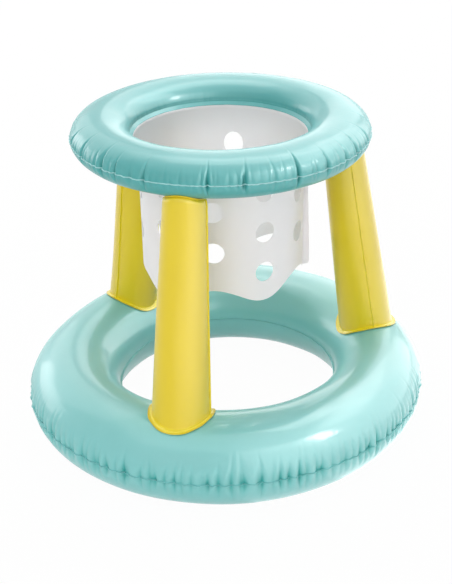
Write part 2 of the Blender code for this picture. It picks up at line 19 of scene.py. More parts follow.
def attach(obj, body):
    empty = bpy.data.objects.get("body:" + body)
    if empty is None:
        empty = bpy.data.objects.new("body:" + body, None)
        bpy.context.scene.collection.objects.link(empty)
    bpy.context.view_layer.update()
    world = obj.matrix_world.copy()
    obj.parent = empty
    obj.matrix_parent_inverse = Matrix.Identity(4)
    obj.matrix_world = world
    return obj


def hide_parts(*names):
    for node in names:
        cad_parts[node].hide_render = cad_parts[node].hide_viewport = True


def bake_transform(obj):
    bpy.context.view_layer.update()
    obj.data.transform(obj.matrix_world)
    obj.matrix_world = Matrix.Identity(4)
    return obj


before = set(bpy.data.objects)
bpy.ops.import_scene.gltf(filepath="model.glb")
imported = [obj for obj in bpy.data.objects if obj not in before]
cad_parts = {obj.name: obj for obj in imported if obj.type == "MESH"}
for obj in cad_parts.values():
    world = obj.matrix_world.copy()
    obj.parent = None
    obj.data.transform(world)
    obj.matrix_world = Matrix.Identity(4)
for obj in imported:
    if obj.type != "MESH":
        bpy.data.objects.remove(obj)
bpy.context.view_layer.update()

LOG = logging.getLogger("scene")
Array = np.ndarray
Colour = tuple[float, float, float]
Point = tuple[float, float, float]
SHARP_ANGLE = math.radians(38)


class Side(Enum):
    """Which of two film panels a sheet is: the upper or outer one, or the lower or inner one."""

    FIRST = 1
    SECOND = -1


class Detail(Enum):
    """Attributes that a sheet carries from its shape to its material."""

    WELD = "weld"
    # How folded the film is: the material paints shade into the creases from it.
    FOLD = "fold"


# Shader maths


class Value:
    """A shader socket that takes part in Python expressions."""

    def __init__(self, paint: "Paint", socket: bpy.types.NodeSocket) -> None:
        """Keep the socket and the tree that it belongs to."""
        self.paint = paint
        self.socket = socket

    def math(self, operation: str, *others: "Value | float", swapped: bool = False) -> "Value":
        """Add one Math node.

        Args:
            operation: the node's operation.
            others: the remaining operands.
            swapped: whether this value comes second.

        Returns:
            The node's result.
        """
        terms = [self, *others]
        if swapped:
            terms.reverse()
        return self.paint.node("ShaderNodeMath", {"operation": operation}, dict(enumerate(terms)))

    def __add__(self, other: "Value | float") -> "Value":
        """Sum."""
        return self.math("ADD", other)

    __radd__ = __add__

    def __sub__(self, other: "Value | float") -> "Value":
        """Difference."""
        return self.math("SUBTRACT", other)

    def __rsub__(self, other: "Value | float") -> "Value":
        """Difference with this value taken away."""
        return self.math("SUBTRACT", other, swapped=True)

    def __mul__(self, other: "Value | float") -> "Value":
        """Product."""
        return self.math("MULTIPLY", other)

    __rmul__ = __mul__

    def __pow__(self, other: float) -> "Value":
        """Power."""
        return self.math("POWER", other)

    def step_up(self, low: float, high: float, course: str = "SMOOTHSTEP") -> "Value":
        """Rise from 0 at the low value to 1 at the high one."""
        settings = {"interpolation_type": course}
        return self.paint.node("ShaderNodeMapRange", settings, {0: self, 1: low, 2: high, 3: 0.0, 4: 1.0})


class Paint:
    """Builds the nodes of one material."""

    def __init__(self, name: str, worldwide: bool = False) -> None:
        """Start a material, or the world.

        Args:
            name: its name.
            worldwide: whether it is the world.
        """
        self.owner = (bpy.data.worlds if worldwide else bpy.data.materials).new(name)
        self.owner.use_nodes = True
        self.tree = self.owner.node_tree

    def node(
        self,
        kind: str,
        settings: dict[str, object] | None = None,
        inputs: dict[str | int, object] | None = None,
        output: str | int = 0,
    ) -> Value:
        """Add one node of any type.

        Args:
            kind: the node's type name.
            settings: its properties, set first.
            inputs: numbers, colours or values for its sockets, by name or number.
            output: which output the result is.

        Returns:
            The chosen output.
        """
        made = self.tree.nodes.new(kind)
        for key, setting in (settings or {}).items():
            setattr(made, key, setting)
        for key, given in (inputs or {}).items():
            self.feed(made.inputs[key], given)
        return Value(self, made.outputs[output])

    def feed(self, socket: bpy.types.NodeSocket, given: object) -> None:
        """Link a value to a socket, or set the socket's own number or colour.

        Args:
            socket: an input of a node.
            given: a value, a number or a colour.
        """
        if isinstance(given, Value):
            self.tree.links.new(given.socket, socket)
        elif isinstance(given, tuple) and socket.type == "RGBA":
            socket.default_value = (*given, 1.0)
        else:
            socket.default_value = given

    def principled(self, **inputs: object) -> bpy.types.Material:
        """Set the shader's sockets.

        Args:
            inputs: values, numbers or colours by socket. A socket's spaces are underscores here.

        Returns:
            The material.
        """
        shader = self.tree.nodes["Principled BSDF"]
        for key, given in inputs.items():
            self.feed(shader.inputs[key.replace("_", " ")], given)
        return self.owner

    def background_rays(self) -> Value:
        """1 for rays that show the background: the camera's own, mirrored ones and ones let through."""
        names = ("Is Camera Ray", "Is Glossy Ray", "Is Transmission Ray")
        return sum(self.node("ShaderNodeLightPath", output=name) for name in names)

    def place(self, output: str = "Object") -> Value:
        """The point's place in metres, or the direction where the output is Generated in the world."""
        return self.node("ShaderNodeTexCoord", output=output)

    def stretched(self, scale: Point) -> Value:
        """The place with each axis scaled."""
        return self.node("ShaderNodeMapping", inputs={"Vector": self.place(), "Scale": scale})

    def noise(self, where: Value, scale: float, detail: float = 2.0, roughness: float = 0.5) -> Value:
        """Smooth noise round 0.5."""
        inputs = {"Vector": where, "Scale": scale, "Detail": detail, "Roughness": roughness}
        return self.node("ShaderNodeTexNoise", inputs=inputs, output="Fac")

    def carried(self, detail: Detail) -> Value:
        """A value that the mesh carries."""
        settings = {"attribute_type": "GEOMETRY", "attribute_name": detail.value}
        return self.node("ShaderNodeAttribute", settings, output="Fac")

    def mix(self, share: "Value | float", first: "Value | Colour", second: "Value | Colour") -> Value:
        """Blend two colours."""
        return self.node("ShaderNodeMix", {"data_type": "RGBA"}, {0: share, 6: first, 7: second}, 2)

    def bump(self, height: Value, strength: float = 1.0) -> Value:
        """A normal from a height in metres."""
        inputs = {"Height": height, "Distance": 1.0, "Strength": strength}
        return self.node("ShaderNodeBump", inputs=inputs)


@dataclass(frozen=True)
class FilmFinish:
    """Soft vinyl film: a dyed body, a glossy rolled face, and welds pressed rougher.

    The shine, coat and index are the shader's own. Sway is the height of the film's slow bumps, in metres.
    The second colour tints the body at random and paints shade into the creases of folds. The third paints a
    line along the seams over the welds' own tone: shade beside the base ring's fin, a highlight on the hoop's
    lit fin.
    """

    name: str
    colour: Colour
    cloud_and_crease_shade: Colour
    weld_tone_and_seam_light: Colour
    roughness: float
    shine: float
    coat: float
    coat_roughness: float
    coat_index: float
    sway: float
    milkiness: float = 0.0

    def material(self) -> bpy.types.Material:
        """Make the material.

        Returns:
            The material: cloudy colour, painted shade in the creases, a painted seam line over the welds'
                tone,
            uneven gloss, and a gentle bump.
        """
        paint = Paint(self.name)
        where = paint.place()
        cloud = paint.noise(where, scale=9.0, detail=3.0)
        speck = paint.noise(where, scale=260.0)
        smear = paint.noise(paint.stretched((1.0, 1.0, 3.0)), scale=34.0, detail=4.0, roughness=0.6)
        fold = paint.carried(Detail.FOLD)
        weld = paint.carried(Detail.WELD)
        body = paint.mix((cloud - 0.5) * 0.3 + 0.06 * (speck - 0.5) + 0.2, self.colour, self.cloud_and_crease_shade)
        # Painted shade: the creases of folds darken towards the second colour.
        folded = paint.mix(fold ** 1.3, body, self.cloud_and_crease_shade)
        # Painted seam line over the welds' own tone: shade on the base ring, a highlight on the hoop's fin.
        colour = paint.mix(weld * 0.9, folded, self.weld_tone_and_seam_light)
        rough = self.roughness + (smear - 0.5) * 0.1 + (speck - 0.5) * 0.03 + weld * 0.1
        swell = paint.noise(where, scale=16.0) * self.sway
        knurl = paint.noise(where, scale=900.0, detail=1.0) * weld * 0.00005
        return paint.principled(
            Base_Color=colour,
            Roughness=rough,
            Specular_IOR_Level=self.shine,
            IOR=1.5,
            # Painted shade: the creases lose most of their coat, so they mirror less.
            Coat_Weight=self.coat * (1 - 0.85 * fold),
            Coat_Roughness=self.coat_roughness,
            Coat_IOR=self.coat_index,
            Subsurface_Weight=self.milkiness,
            Subsurface_Radius=(0.002, 0.002, 0.002),
            Subsurface_Scale=1.0,
            Normal=paint.bump(swell + knurl),
        )


@dataclass(frozen=True)
class MouldedFinish:
    """Clear soft moulded vinyl of the air valves."""

    name: str
    colour: Colour
    depth_colour: Colour
    roughness: float

    def material(self) -> bpy.types.Material:
        """Make the material.

        Returns:
            The material: milky colour with mould flow clouds, a fine spark-eroded grain and uneven gloss.
        """
        paint = Paint(self.name)
        where = paint.place()
        cloud = paint.noise(where, scale=130.0, detail=4.0, roughness=0.6)
        grain = paint.noise(where, scale=1500.0)
        return paint.principled(
            Base_Color=paint.mix(cloud, self.colour, self.depth_colour),
            Roughness=self.roughness + (cloud - 0.5) * 0.2 + (grain - 0.5) * 0.1,
            Coat_Weight=0.25,
            Coat_Roughness=0.2,
            Subsurface_Weight=0.3,
            Subsurface_Radius=(0.002, 0.002, 0.002),
            Subsurface_Scale=1.0,
            Normal=paint.bump(cloud * 0.00006 + grain * 0.00003),
        )


# The base ring's film. Its weld colour, a little darker than the body, is the welds' tone and paints shade
# along the seam.
AQUA = FilmFinish(
    "aqua_vinyl_film", (0.210, 0.545, 0.540), (0.045, 0.360, 0.335), (0.180, 0.500, 0.500),
    roughness=0.50, shine=0.5, coat=0.5, coat_roughness=0.13, coat_index=1.5, sway=0.0002,
)
# The hoop ring's film: a darker copy of the base ring's, painted shade over the whole ring, with less coat.
# Its much lighter weld colour paints a highlight on the lit fin.
HOOP_SHADED_AQUA = replace(
    AQUA, name="hoop_shaded_aqua_vinyl_film", colour=(0.062, 0.352, 0.350), cloud_and_crease_shade=(0.014, 0.215, 0.203),
    weld_tone_and_seam_light=(0.380, 0.680, 0.680), coat=0.36,
)
YELLOW = FilmFinish(
    "yellow_vinyl_film", (0.735, 0.560, 0.003), (0.600, 0.440, 0.002), (0.770, 0.660, 0.008),
    roughness=0.38, shine=0.42, coat=0.45, coat_roughness=0.26, coat_index=1.5, sway=0.0002,
)
WHITE = FilmFinish(
    "white_vinyl_sheet", (0.805, 0.752, 0.772), (0.740, 0.696, 0.714), (0.815, 0.776, 0.790),
    roughness=0.46, shine=0.3, coat=0.15, coat_roughness=0.3, coat_index=1.5, sway=0.0003, milkiness=0.8,
)
CLEAR = MouldedFinish("clear_moulded_vinyl", (0.700, 0.790, 0.785), (0.600, 0.720, 0.715), 0.34)


# Sums that many shapes share


def bell(distance: Array, width: float, power: float = 2) -> Array:
    """1 at no distance, fading to nothing: exp(-(distance / width)^power)."""
    return np.exp(-((distance / width) ** power))


def eased(share: Array) -> Array:
    """A share that starts and ends gently: share^2 x (3 - 2 x share)."""
    return share * share * (3 - 2 * share)


def whole_turn(count: int) -> Array:
    """Even angles round a whole turn."""
    return np.linspace(0, math.tau, count, endpoint=False)


def turned_from(angle: Array, place: Array | float) -> Array:
    """How far each angle is turned from a place, the shorter way round."""
    return np.angle(np.exp(1j * (angle - place)))


def spoke(angle: float) -> Array:
    """The level direction at an angle round the Z axis."""
    return np.array([math.cos(angle), math.sin(angle), 0])


def unit(arrows: Array) -> Array:
    """Arrows of the same directions with a length of 1."""
    return arrows / np.linalg.norm(arrows, axis=-1, keepdims=True)


def upright(radius: Array | float, turn: Array, height: Array | float) -> Array:
    """Places from radius, angle and height round the Z axis."""
    radius, turn, height = np.broadcast_arrays(radius, turn, height)
    return np.stack([radius * np.cos(turn), radius * np.sin(turn), height], -1)


def waves(rng: np.random.Generator, angle: Array, least: int, most: int, count: int) -> Array:
    """A sum of cosines of whole frequencies, so it closes round the ring, with a size of about 1.

    Args:
        rng: the seeded source of chance.
        angle: angles round the ring.
        least: the lowest frequency.
        most: one more than the highest frequency.
        count: how many cosines.

    Returns:
        The sum at each angle.
    """
    speeds = rng.integers(least, most, count)
    starts = rng.uniform(0, math.tau, count)
    return np.cos(angle[..., None] * speeds + starts).sum(-1) / math.sqrt(count)


# The base ring's moves as it settles: angle in degrees, width in radians, metres outwards
RING_PUSHES = ((147, 0.50, -0.0090), (174, 0.37, -0.0080), (-128, 0.60, 0.0045), (-30, 0.50, -0.0035))
INNER_BULGES = ((-95, 0.60, -0.0055), (-163, 0.45, -0.0065))
# Where the moves start to fade as a height and over what run, and the base ring's edge and width
PUSH_FADE, BULGE_FADE = (0.15, 0.33), (0.14, 0.16)
RING_EDGE, RING_WIDTH = 0.333, 0.147


def settled(points: Array) -> Array:
    """Press the base ring out of round, as a soft ring settles, and let the legs follow.

    At each of a few angles the ring moves straight outwards by push x exp(-(angle from there / width)^2),
    which fades between 0.15 and 0.48 m up. The bulges do the same to the ring's inner side, in full at
    its inner edge and not at all at its outer one, and fade between 0.14 and 0.30 m up.

    Args:
        points: places of any piece.

    Returns:
        The moved places.
    """
    angle = np.arctan2(points[..., 1], points[..., 0])
    radius = np.hypot(points[..., 0], points[..., 1])
    push, bulge = (
        sum(size * bell(turned_from(angle, math.radians(place)), width) for place, width, size in moves)
        for moves in (RING_PUSHES, INNER_BULGES)
    )
    high, low = (np.clip((points[..., 2] - start) / run, 0, 1) for start, run in (PUSH_FADE, BULGE_FADE))
    inner = np.clip((RING_EDGE - radius) / RING_WIDTH, 0, 1)
    push = push * (1 - eased(high)) + bulge * inner * (1 - eased(low))
    share = 1 + push / np.maximum(radius, 0.05)
    return points * np.stack([share, share, np.ones_like(share)], -1)


# Meshes from arrays


def quads(rows: int, columns: int, wrapped: bool, looped: bool = False) -> Array:
    """Corner numbers of the quads of a grid.

    Args:
        rows: rows of points.
        columns: points in a row.
        wrapped: whether each row closes on itself.
        looped: whether the last row joins the first.

    Returns:
        One line of four corners for each quad, row by row.
    """
    down = np.arange(rows if looped else rows - 1)[:, None]
    along = np.arange(columns if wrapped else columns - 1)[None, :]
    here, below, after = down * columns, (down + 1) % rows * columns, (along + 1) % columns
    corners = [here + along, here + after, below + after, below + along]
    return np.stack(corners, -1).reshape(-1, 4)


def mesh_object(
    name: str, points: Array, faces: Array, carried: dict[Detail, Array] | None = None
) -> bpy.types.Object:
    """Put arrays of points and quads into a new object at the origin, settled as the base ring is.

    Args:
        name: the object's name.
        points: a grid of places.
        faces: one quad a line.
        carried: values for each point, by detail.

    Returns:
        The new object. Points that no face uses are left out.
    """
    used, renumbered = np.unique(faces, return_inverse=True)
    faces = renumbered.reshape(-1, 4)
    mesh = bpy.data.meshes.new(name)
    mesh.vertices.add(len(used))
    mesh.vertices.foreach_set("co", settled(points).reshape(-1, 3)[used].astype(np.float32).ravel())
    mesh.loops.add(faces.size)
    mesh.loops.foreach_set("vertex_index", faces.astype(np.int32).ravel())
    mesh.polygons.add(len(faces))
    mesh.polygons.foreach_set("loop_start", np.arange(0, faces.size, 4, dtype=np.int32))
    for detail, values in (carried or {}).items():
        spread = np.broadcast_to(values, points.shape[:-1]).ravel()[used]
        layer = mesh.attributes.new(detail.value, "FLOAT", "POINT")
        layer.data.foreach_set("value", spread.astype(np.float32))
    mesh.update(calc_edges=True)
    made = bpy.data.objects.new(name, mesh)
    bpy.context.scene.collection.objects.link(made)
    return made


def smooth(made: bpy.types.Object) -> None:
    """Shade an object smoothly, with creases kept where its faces meet sharply."""
    made.data.shade_smooth()
    made.data.set_sharp_from_angle(angle=SHARP_ANGLE)


def thicken(made: bpy.types.Object, thickness: float, offset: float = -1.0) -> None:
    """Give a sheet its thickness and closed rims, and keep the result as its mesh.

    Args:
        made: the sheet.
        thickness: the film's thickness.
        offset: which way it grows: -1 is inwards from the sheet's face, 0 is to both sides.
    """
    wall = made.modifiers.new("thickness", "SOLIDIFY")
    wall.thickness = thickness
    wall.offset = offset
    wall.use_rim = True
    bpy.context.view_layer.update()
    drawn = made.evaluated_get(bpy.context.evaluated_depsgraph_get())
    solid = bpy.data.meshes.new_from_object(drawn)
    solid.name = made.name
    made.modifiers.clear()
    made.data = solid
    smooth(made)


def film_sheet(
    name: str, points: Array, faces: Array, core: Array, carried: dict[Detail, Array], film: float
) -> bpy.types.Object:
    """Make a sheet of film whose face looks away from a core line, thickened on the inner side.

    Args:
        name: the object's name.
        points: a grid of places.
        faces: one quad a line.
        core: for each point, the point of the core line that it surrounds.
        carried: values for each point, by detail.
        film: the film's thickness.

    Returns:
        The sheet. Its faces are all reversed if, taken together, they looked inwards.
    """
    flat = points.reshape(-1, 3)
    first, second, third, fourth = (flat[faces[:, k]] for k in range(4))
    away = first - core.reshape(-1, 3)[faces[:, 0]]
    inwards = (np.cross(third - first, fourth - second) * away).sum() <= 0
    made = mesh_object(name, points, faces[:, ::-1] if inwards else faces, carried)
    thicken(made, film)
    return made


def closed_shape(
    name: str, points: Array, looped: bool = True, carried: dict[Detail, Array] | None = None
) -> bpy.types.Object:
    """Make a closed shape from a grid whose rows close on themselves.

    Args:
        name: the object's name.
        points: the grid of places.
        looped: whether the last row joins the first. Otherwise both are poles.
        carried: values for each point, by detail.

    Returns:
        The shape, its faces turned so that its volume counts as positive.
    """
    faces, flat = quads(*points.shape[:2], wrapped=True, looped=looped), points.reshape(-1, 3)
    first, second, third, fourth = (flat[faces[:, k]] for k in range(4))
    volume = (first * (np.cross(second, third) + np.cross(third, fourth))).sum()
    made = mesh_object(name, points, faces if volume > 0 else faces[:, ::-1], carried)
    if not looped:
        mend(made, close_poles)
    smooth(made)
    return made


def mend(made: bpy.types.Object, step: Callable[[bmesh.types.BMesh], None]) -> None:
    """Take one mending step on an object's mesh.

    Args:
        made: the object.
        step: what is done to its mesh.
    """
    work = bmesh.new()
    work.from_mesh(made.data)
    step(work)
    work.to_mesh(made.data)
    work.free()


def close_poles(work: bmesh.types.BMesh) -> None:
    """Merge the points that lie together at a turned piece's ends."""
    bmesh.ops.remove_doubles(work, verts=work.verts, dist=1e-7)
    bmesh.ops.dissolve_degenerate(work, edges=work.edges, dist=1e-8)


def face_outwards(work: bmesh.types.BMesh) -> None:
    """Turn the faces of a closed piece outwards."""
    bmesh.ops.recalc_face_normals(work, faces=work.faces)


def dress(
    made: bpy.types.Object, material: bpy.types.Material, body: str = "root",
    nodes: tuple[str, ...] = (),
) -> bpy.types.Object:
    """Give a finished piece its material and its body, and hide the solids that it stands for.

    Args:
        made: the piece.
        material: its material.
        body: the body that it rides on, or nothing, which leaves it on none.
        nodes: the solids that it stands for.

    Returns:
        The same piece.
    """
    made.data.materials.clear()
    made.data.materials.append(material)
    if body:
        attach(made, body)
    if nodes:
        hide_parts(*nodes)
    LOG.info("%s: %d faces on %s", made.name, len(made.data.polygons), body or "two bodies")
    return made


@dataclass
class RoundHoles:
    """Round holes punched in a flat sheet, given by the flat places of their centres."""

    centres: Array
    radius: float

    def punch(self, along: Array, down: Array, wrap: float) -> tuple[Array, Array, Array]:
        """Open a grid, whose columns close on themselves, at the holes.

        A quad with a corner inside a hole is left out. A point that then borders a hole moves straight
        away from or towards its centre until its distance from it is the hole's radius.

        Args:
            along: flat place of each point along the sheet, in metres.
            down: flat place of each point down the sheet.
            wrap: the length after which the sheet's columns come round again.

        Returns:
            The new places along and down, and which quads stay.
        """
        offset = (along[..., None] - self.centres[:, 0] + wrap / 2) % wrap - wrap / 2
        drop = down[..., None] - self.centres[:, 1]
        distance = np.hypot(offset, drop)
        nearest = distance.argmin(-1)[..., None]
        offset, drop, distance = (
            np.take_along_axis(every, nearest, -1)[..., 0] for every in (offset, drop, distance)
        )
        inside = distance < self.radius
        beside = np.roll(inside, -1, axis=1)
        gone = inside[:-1] | beside[:-1] | beside[1:] | inside[1:]
        touched = np.zeros(along.shape, bool)
        for rows in (slice(None, -1), slice(1, None)):
            touched[rows] |= gone | np.roll(gone, 1, axis=1)
        rim = touched & ~inside
        pull = np.where(rim, self.radius / np.maximum(distance, 1e-9) - 1, 0)
        return along + offset * pull, down + drop * pull, ~gone


@dataclass
class Folds:
    """Puckers along a welded seam: narrow valleys that start at the seam, widen and fade away from it."""

    places: Array
    depths: Array
    reaches: Array
    widths: Array
    leans: Array

    @classmethod
    def scattered(
        cls, rng: np.random.Generator, around: float, count: int, depth: tuple[float, float],
        reach: tuple[float, float], width: tuple[float, float], lean: float,
    ) -> "Folds":
        """Folds at nearly even steps along a closed seam, more of them shallow than deep.

        Args:
            rng: the seeded source of chance.
            around: the seam's length.
            count: how many folds.
            depth: least and most depth of a valley at the seam.
            reach: least and most distance over which a fold fades.
            width: least and most half width at the seam.
            lean: the most that a fold leans sideways over its reach.

        Returns:
            The folds.
        """
        jitter, shallow_power = 0.33, 1.4
        return cls(
            (np.arange(count) + rng.uniform(-jitter, jitter, count)) * (around / count),
            depth[0] + (depth[1] - depth[0]) * rng.random(count) ** shallow_power,
            rng.uniform(*reach, count),
            rng.uniform(*width, count),
            rng.uniform(-lean, lean, count),
        )

    def joined(self, other: "Folds") -> "Folds":
        """These folds and some others."""
        pairs = zip(vars(self).values(), vars(other).values())
        return Folds(*(np.concatenate(pair) for pair in pairs))

    def depth_at(self, along: Array, away: Array, around: float, reach_share: float = 1.0) -> Array:
        """How far the film sinks at each point.

        A fold sinks by depth x exp(-(sideways / width)^1.4) x exp(-(away / reach)^1.6), and the film swells
        a little beside it. It narrows away from the seam, and its valley bends sideways with the square of
        the distance.

        Args:
            along: place along the seam.
            away: distance from the seam along the film.
            around: the seam's closed length.
            reach_share: share of each fold's reach that this panel has.

        Returns:
            The depth in metres.
        """
        rise = away[..., None] / (self.reaches * reach_share)
        sideways = along[..., None] - self.places - self.leans * rise**2
        sideways = (sideways + around / 2) % around - around / 2
        apart = np.abs(sideways) / (self.widths * np.maximum(1.3 - 0.5 * rise, 0.6))
        swell = 0.16 * bell(apart - 2.4, 0.9)
        return (self.depths * (bell(apart, 1, 1.4) - swell) * bell(rise, 1, 1.6)).sum(-1)


# The parts


@dataclass
class InflatedRing:
    """An air ring of two film panels, welded along its outer and its inner equator."""

    name: str
    centre_radius: float
    half_width: float
    half_height: float
    centre_height: float
    outer_fin: float
    inner_fin: float
    columns: int
    first_row: float
    row_growth: float
    widest_row: float
    folds: Folds
    inner_folds: Folds
    second_reach_share: float
    inner_droop: float
    # Angle round which the painted seam line fades.
    seam_line_fade_angle: float
    seam_wander: float
    valve_tilt: float
    film: float = 0.0004
    weld_gap: float = 0.0002
    weld_margin: float = 0.0036
    weld_rows: tuple[float, ...] = (4.2, 2.6, 1.6, 1.15, 1.0, 0.85, 0.4, 0.0)
    weld_grooves: tuple[Point, ...] = ((1.0, 0.0003, 0.0009), (2.1, 0.0002, 0.0011))
    sway_share: float = 0.006
    seam_fade: float = 0.006
    # Fold depth at which the painted crease shade is full.
    full_crease_shade_depth: float = 0.004
    valve_hole: float = 0.0105
    floor_level: float | None = None
    seed: int = 5

    @property
    def outer_radius(self) -> float:
        """Radius of the outer seam."""
        return self.centre_radius + self.half_width

    @property
    def inner_radius(self) -> float:
        """Radius of the inner seam."""
        return self.centre_radius - self.half_width

    @property
    def seam_face(self) -> float:
        """How far the outer face of either panel stands from the seams' plane."""
        return self.weld_gap / 2 + self.film

    def section(self, tube_angle: Array, offset: Array | float = 0.0) -> tuple[Array, Array]:
        """Radius, and height over the centre line, at an angle round the tube, 0 being outermost."""
        radius = self.centre_radius + (self.half_width + offset) * np.cos(tube_angle)
        return radius, (self.half_height + offset) * np.sin(tube_angle)

    def arc(self) -> tuple[Array, Array]:
        """Measure the film round the tube.

        Returns:
            Tube angles from the outer to the inner equator, and the film's length up to each.
        """
        samples = 721
        angles = np.linspace(0, math.pi, samples)
        radius, height = self.section(angles)
        steps = np.hypot(np.diff(radius), np.diff(height))
        return angles, np.concatenate([[0], np.cumsum(steps)])

    def row_lengths(self) -> Array:
        """Space the rows: close at both seams and wider between them.

        Returns:
            Distances of the rows from the outer seam, along the film.
        """
        total, most_rows, least_run = self.arc()[1][-1], 200, 0.4
        spacing = np.minimum(self.first_row * self.row_growth ** np.arange(most_rows), self.widest_row)
        rows = np.concatenate([[0], np.cumsum(spacing)])
        margin = self.weld_margin * np.array(self.weld_rows)
        rows = rows[rows < total - margin[0] - self.widest_row * least_run]
        return np.concatenate([rows, total - margin])

    def holed(self, turn: Array, tube: Array) -> tuple[Array, Array, Array]:
        """Open the upper panel's grid for the valve, as if the film there were flat.

        Args:
            turn: angle of each point round the ring.
            tube: angle of each point round the tube.

        Returns:
            The new angles, and which quads stay.
        """
        radius = self.section(np.array(self.valve_tilt))[0]
        sine, cosine = math.sin(self.valve_tilt), math.cos(self.valve_tilt)
        pace = np.hypot(self.half_width * sine, self.half_height * cosine)
        holes = RoundHoles(np.array([[math.pi / 2 * radius, self.valve_tilt * pace]]), self.valve_hole)
        along, down, keep = holes.punch(turn * radius, tube * pace, math.tau * float(radius))
        return along / radius, down / pace, keep

    def panel(self, side: Side) -> bpy.types.Object:
        """One film panel, as a sheet from the outer fin's edge to the inner fin's edge.

        Round the tube the film follows radius = centre + half width x cos(t) and height = half height x
        sin(t), moved straight inwards by the folds' depth. Shallow grooves run along the inner weld.

        Args:
            side: the upper or the lower panel.

        Returns:
            The panel, with its film's thickness.
        """
        angles, lengths = self.arc()
        tube = np.interp(self.row_lengths()[:, None], lengths, angles)
        turn, tube = np.broadcast_arrays(whole_turn(self.columns)[None, :], tube)
        keep = np.ones((len(tube) - 1, self.columns), bool)
        if side is Side.FIRST:
            turn, tube, keep = self.holed(turn, tube)
        away = np.interp(tube, angles, lengths)
        from_inner = lengths[-1] - away
        share = 1.0 if side is Side.FIRST else self.second_reach_share
        outer, inner = self.outer_radius, self.inner_radius
        sunk = self.folds.depth_at(turn * outer, away, math.tau * outer, share)
        sunk = sunk + self.inner_folds.depth_at(turn * inner, from_inner, math.tau * inner)
        groove = sum(
            depth * bell(from_inner - place * self.weld_margin, width)
            for place, depth, width in self.weld_grooves
        )
        rng = np.random.default_rng(self.seed)
        body_sway = waves(rng, turn[:1], 3, 19, 6) * np.sin(tube) ** 2 * self.half_height * self.sway_share
        inwards = sunk + groove - body_sway
        normal_out, normal_up = np.cos(tube) / self.half_width, np.sin(tube) / self.half_height
        size = np.hypot(normal_out, normal_up)
        radius, height = self.section(tube)
        radius = radius - inwards * normal_out / size
        height = side.value * np.maximum(height - inwards * normal_up / size, self.seam_face)
        height = height + self.wander(turn) * np.exp(-away / self.seam_fade)
        if self.floor_level is not None:
            height = np.maximum(height, self.floor_level - self.centre_height)
        outer_fin = self.fin_rows(turn[0], sunk[0], side.value * self.seam_face)
        inner_fin = self.inner_fin_rows(turn[-1], side.value * self.seam_face)
        radius, height = (
            np.concatenate(rows) for rows in zip(outer_fin, (radius, height), inner_fin)
        )
        carried = self.carried(turn, away, from_inner, sunk)
        turn, keep = (np.pad(grid, ((2, 2), (0, 0)), mode="edge") for grid in (turn, keep))
        keep[:2] = keep[-2:] = True
        points = upright(radius, turn, self.centre_height + height)
        faces = quads(len(points), self.columns, wrapped=True)[keep.ravel()]
        core = upright(self.centre_radius, turn, self.centre_height)
        word = "upper" if side is Side.FIRST else "lower"
        return film_sheet(f"{self.name}_{word}_film", points, faces, core, carried, self.film)

    def wander(self, turn: Array) -> Array:
        """Let the outer seam stray up and down: slow waves and a small zigzag from fold to fold.

        Args:
            turn: angles round the ring.

        Returns:
            The height at each angle.
        """
        rng = np.random.default_rng(self.seed + 1)
        slow = waves(rng, turn, 2, 12, 4) * 0.8
        quick = waves(rng, turn, 50, 110, 6) * 0.5
        return self.seam_wander * (slow + quick)

    def fin_rows(self, turn: Array, sunk: Array, level: float) -> tuple[Array, Array]:
        """The outer fin's edge and middle: they follow the folds and ripple up and down.

        Args:
            turn: angles round the ring.
            sunk: how far the folds sink at the seam.
            level: height of the panel's face at the seam.

        Returns:
            Radius and height of both rows.
        """
        rng = np.random.default_rng(self.seed + 2)
        ripple = waves(rng, turn, 90, 260, 8)
        reach = np.array([[1.0], [0.5]]) * self.outer_fin * (1 + 0.12 * waves(rng, turn, 20, 120, 5))
        radius = self.centre_radius + self.half_width + reach - 0.8 * sunk
        return radius, level + self.wander(turn) + np.array([[0.00018], [0.00006]]) * ripple

    def inner_fin_rows(self, turn: Array, level: float) -> tuple[Array, Array]:
        """The inner fin's middle and edge. It hangs down at the droop angle and hardly ripples.

        Args:
            turn: angles round the ring.
            level: height of the panel's face at the seam.

        Returns:
            Radius and height of both rows.
        """
        ripple = waves(np.random.default_rng(self.seed + 3), turn, 9, 60, 6)
        reach = np.array([[0.5], [1.0]]) * self.inner_fin
        height = level - reach * math.sin(self.inner_droop) + np.array([[0.00006], [0.00016]]) * ripple
        return np.broadcast_to(self.inner_radius - reach * math.cos(self.inner_droop), height.shape), height

    def carried(self, turn: Array, away: Array, from_inner: Array, sunk: Array) -> dict[Detail, Array]:
        """Values that the material reads: 1 on the welds, where it paints the seam line, and how folded the
        film is, which sets the painted shade in the creases.

        Args:
            turn: angles round the ring.
            away: distance from the outer seam.
            from_inner: distance from the inner seam.
            sunk: how far the folds sink.

        Returns:
            The values for each point, with two rows more at either end for the fins.
        """
        # The weld value, and with it the painted seam line, fades to a fifth round the fade angle.
        faded = 1 - 0.8 * bell(turned_from(turn, self.seam_line_fade_angle), 0.55)
        weld = faded * bell(away, 0.0005) + 0.1 * bell(from_inner - self.weld_margin, 0.0007)
        # Painted shade in the creases, full at the full depth.
        fold = np.clip(sunk / self.full_crease_shade_depth, 0, 1)
        bare = np.zeros((2, self.columns))
        weld = np.concatenate([np.repeat(faded[:1], 2, 0), weld, bare])
        fold = np.concatenate([np.repeat(fold[:1], 2, 0), fold, bare])
        return {Detail.WELD: np.clip(weld, 0, 1), Detail.FOLD: fold}

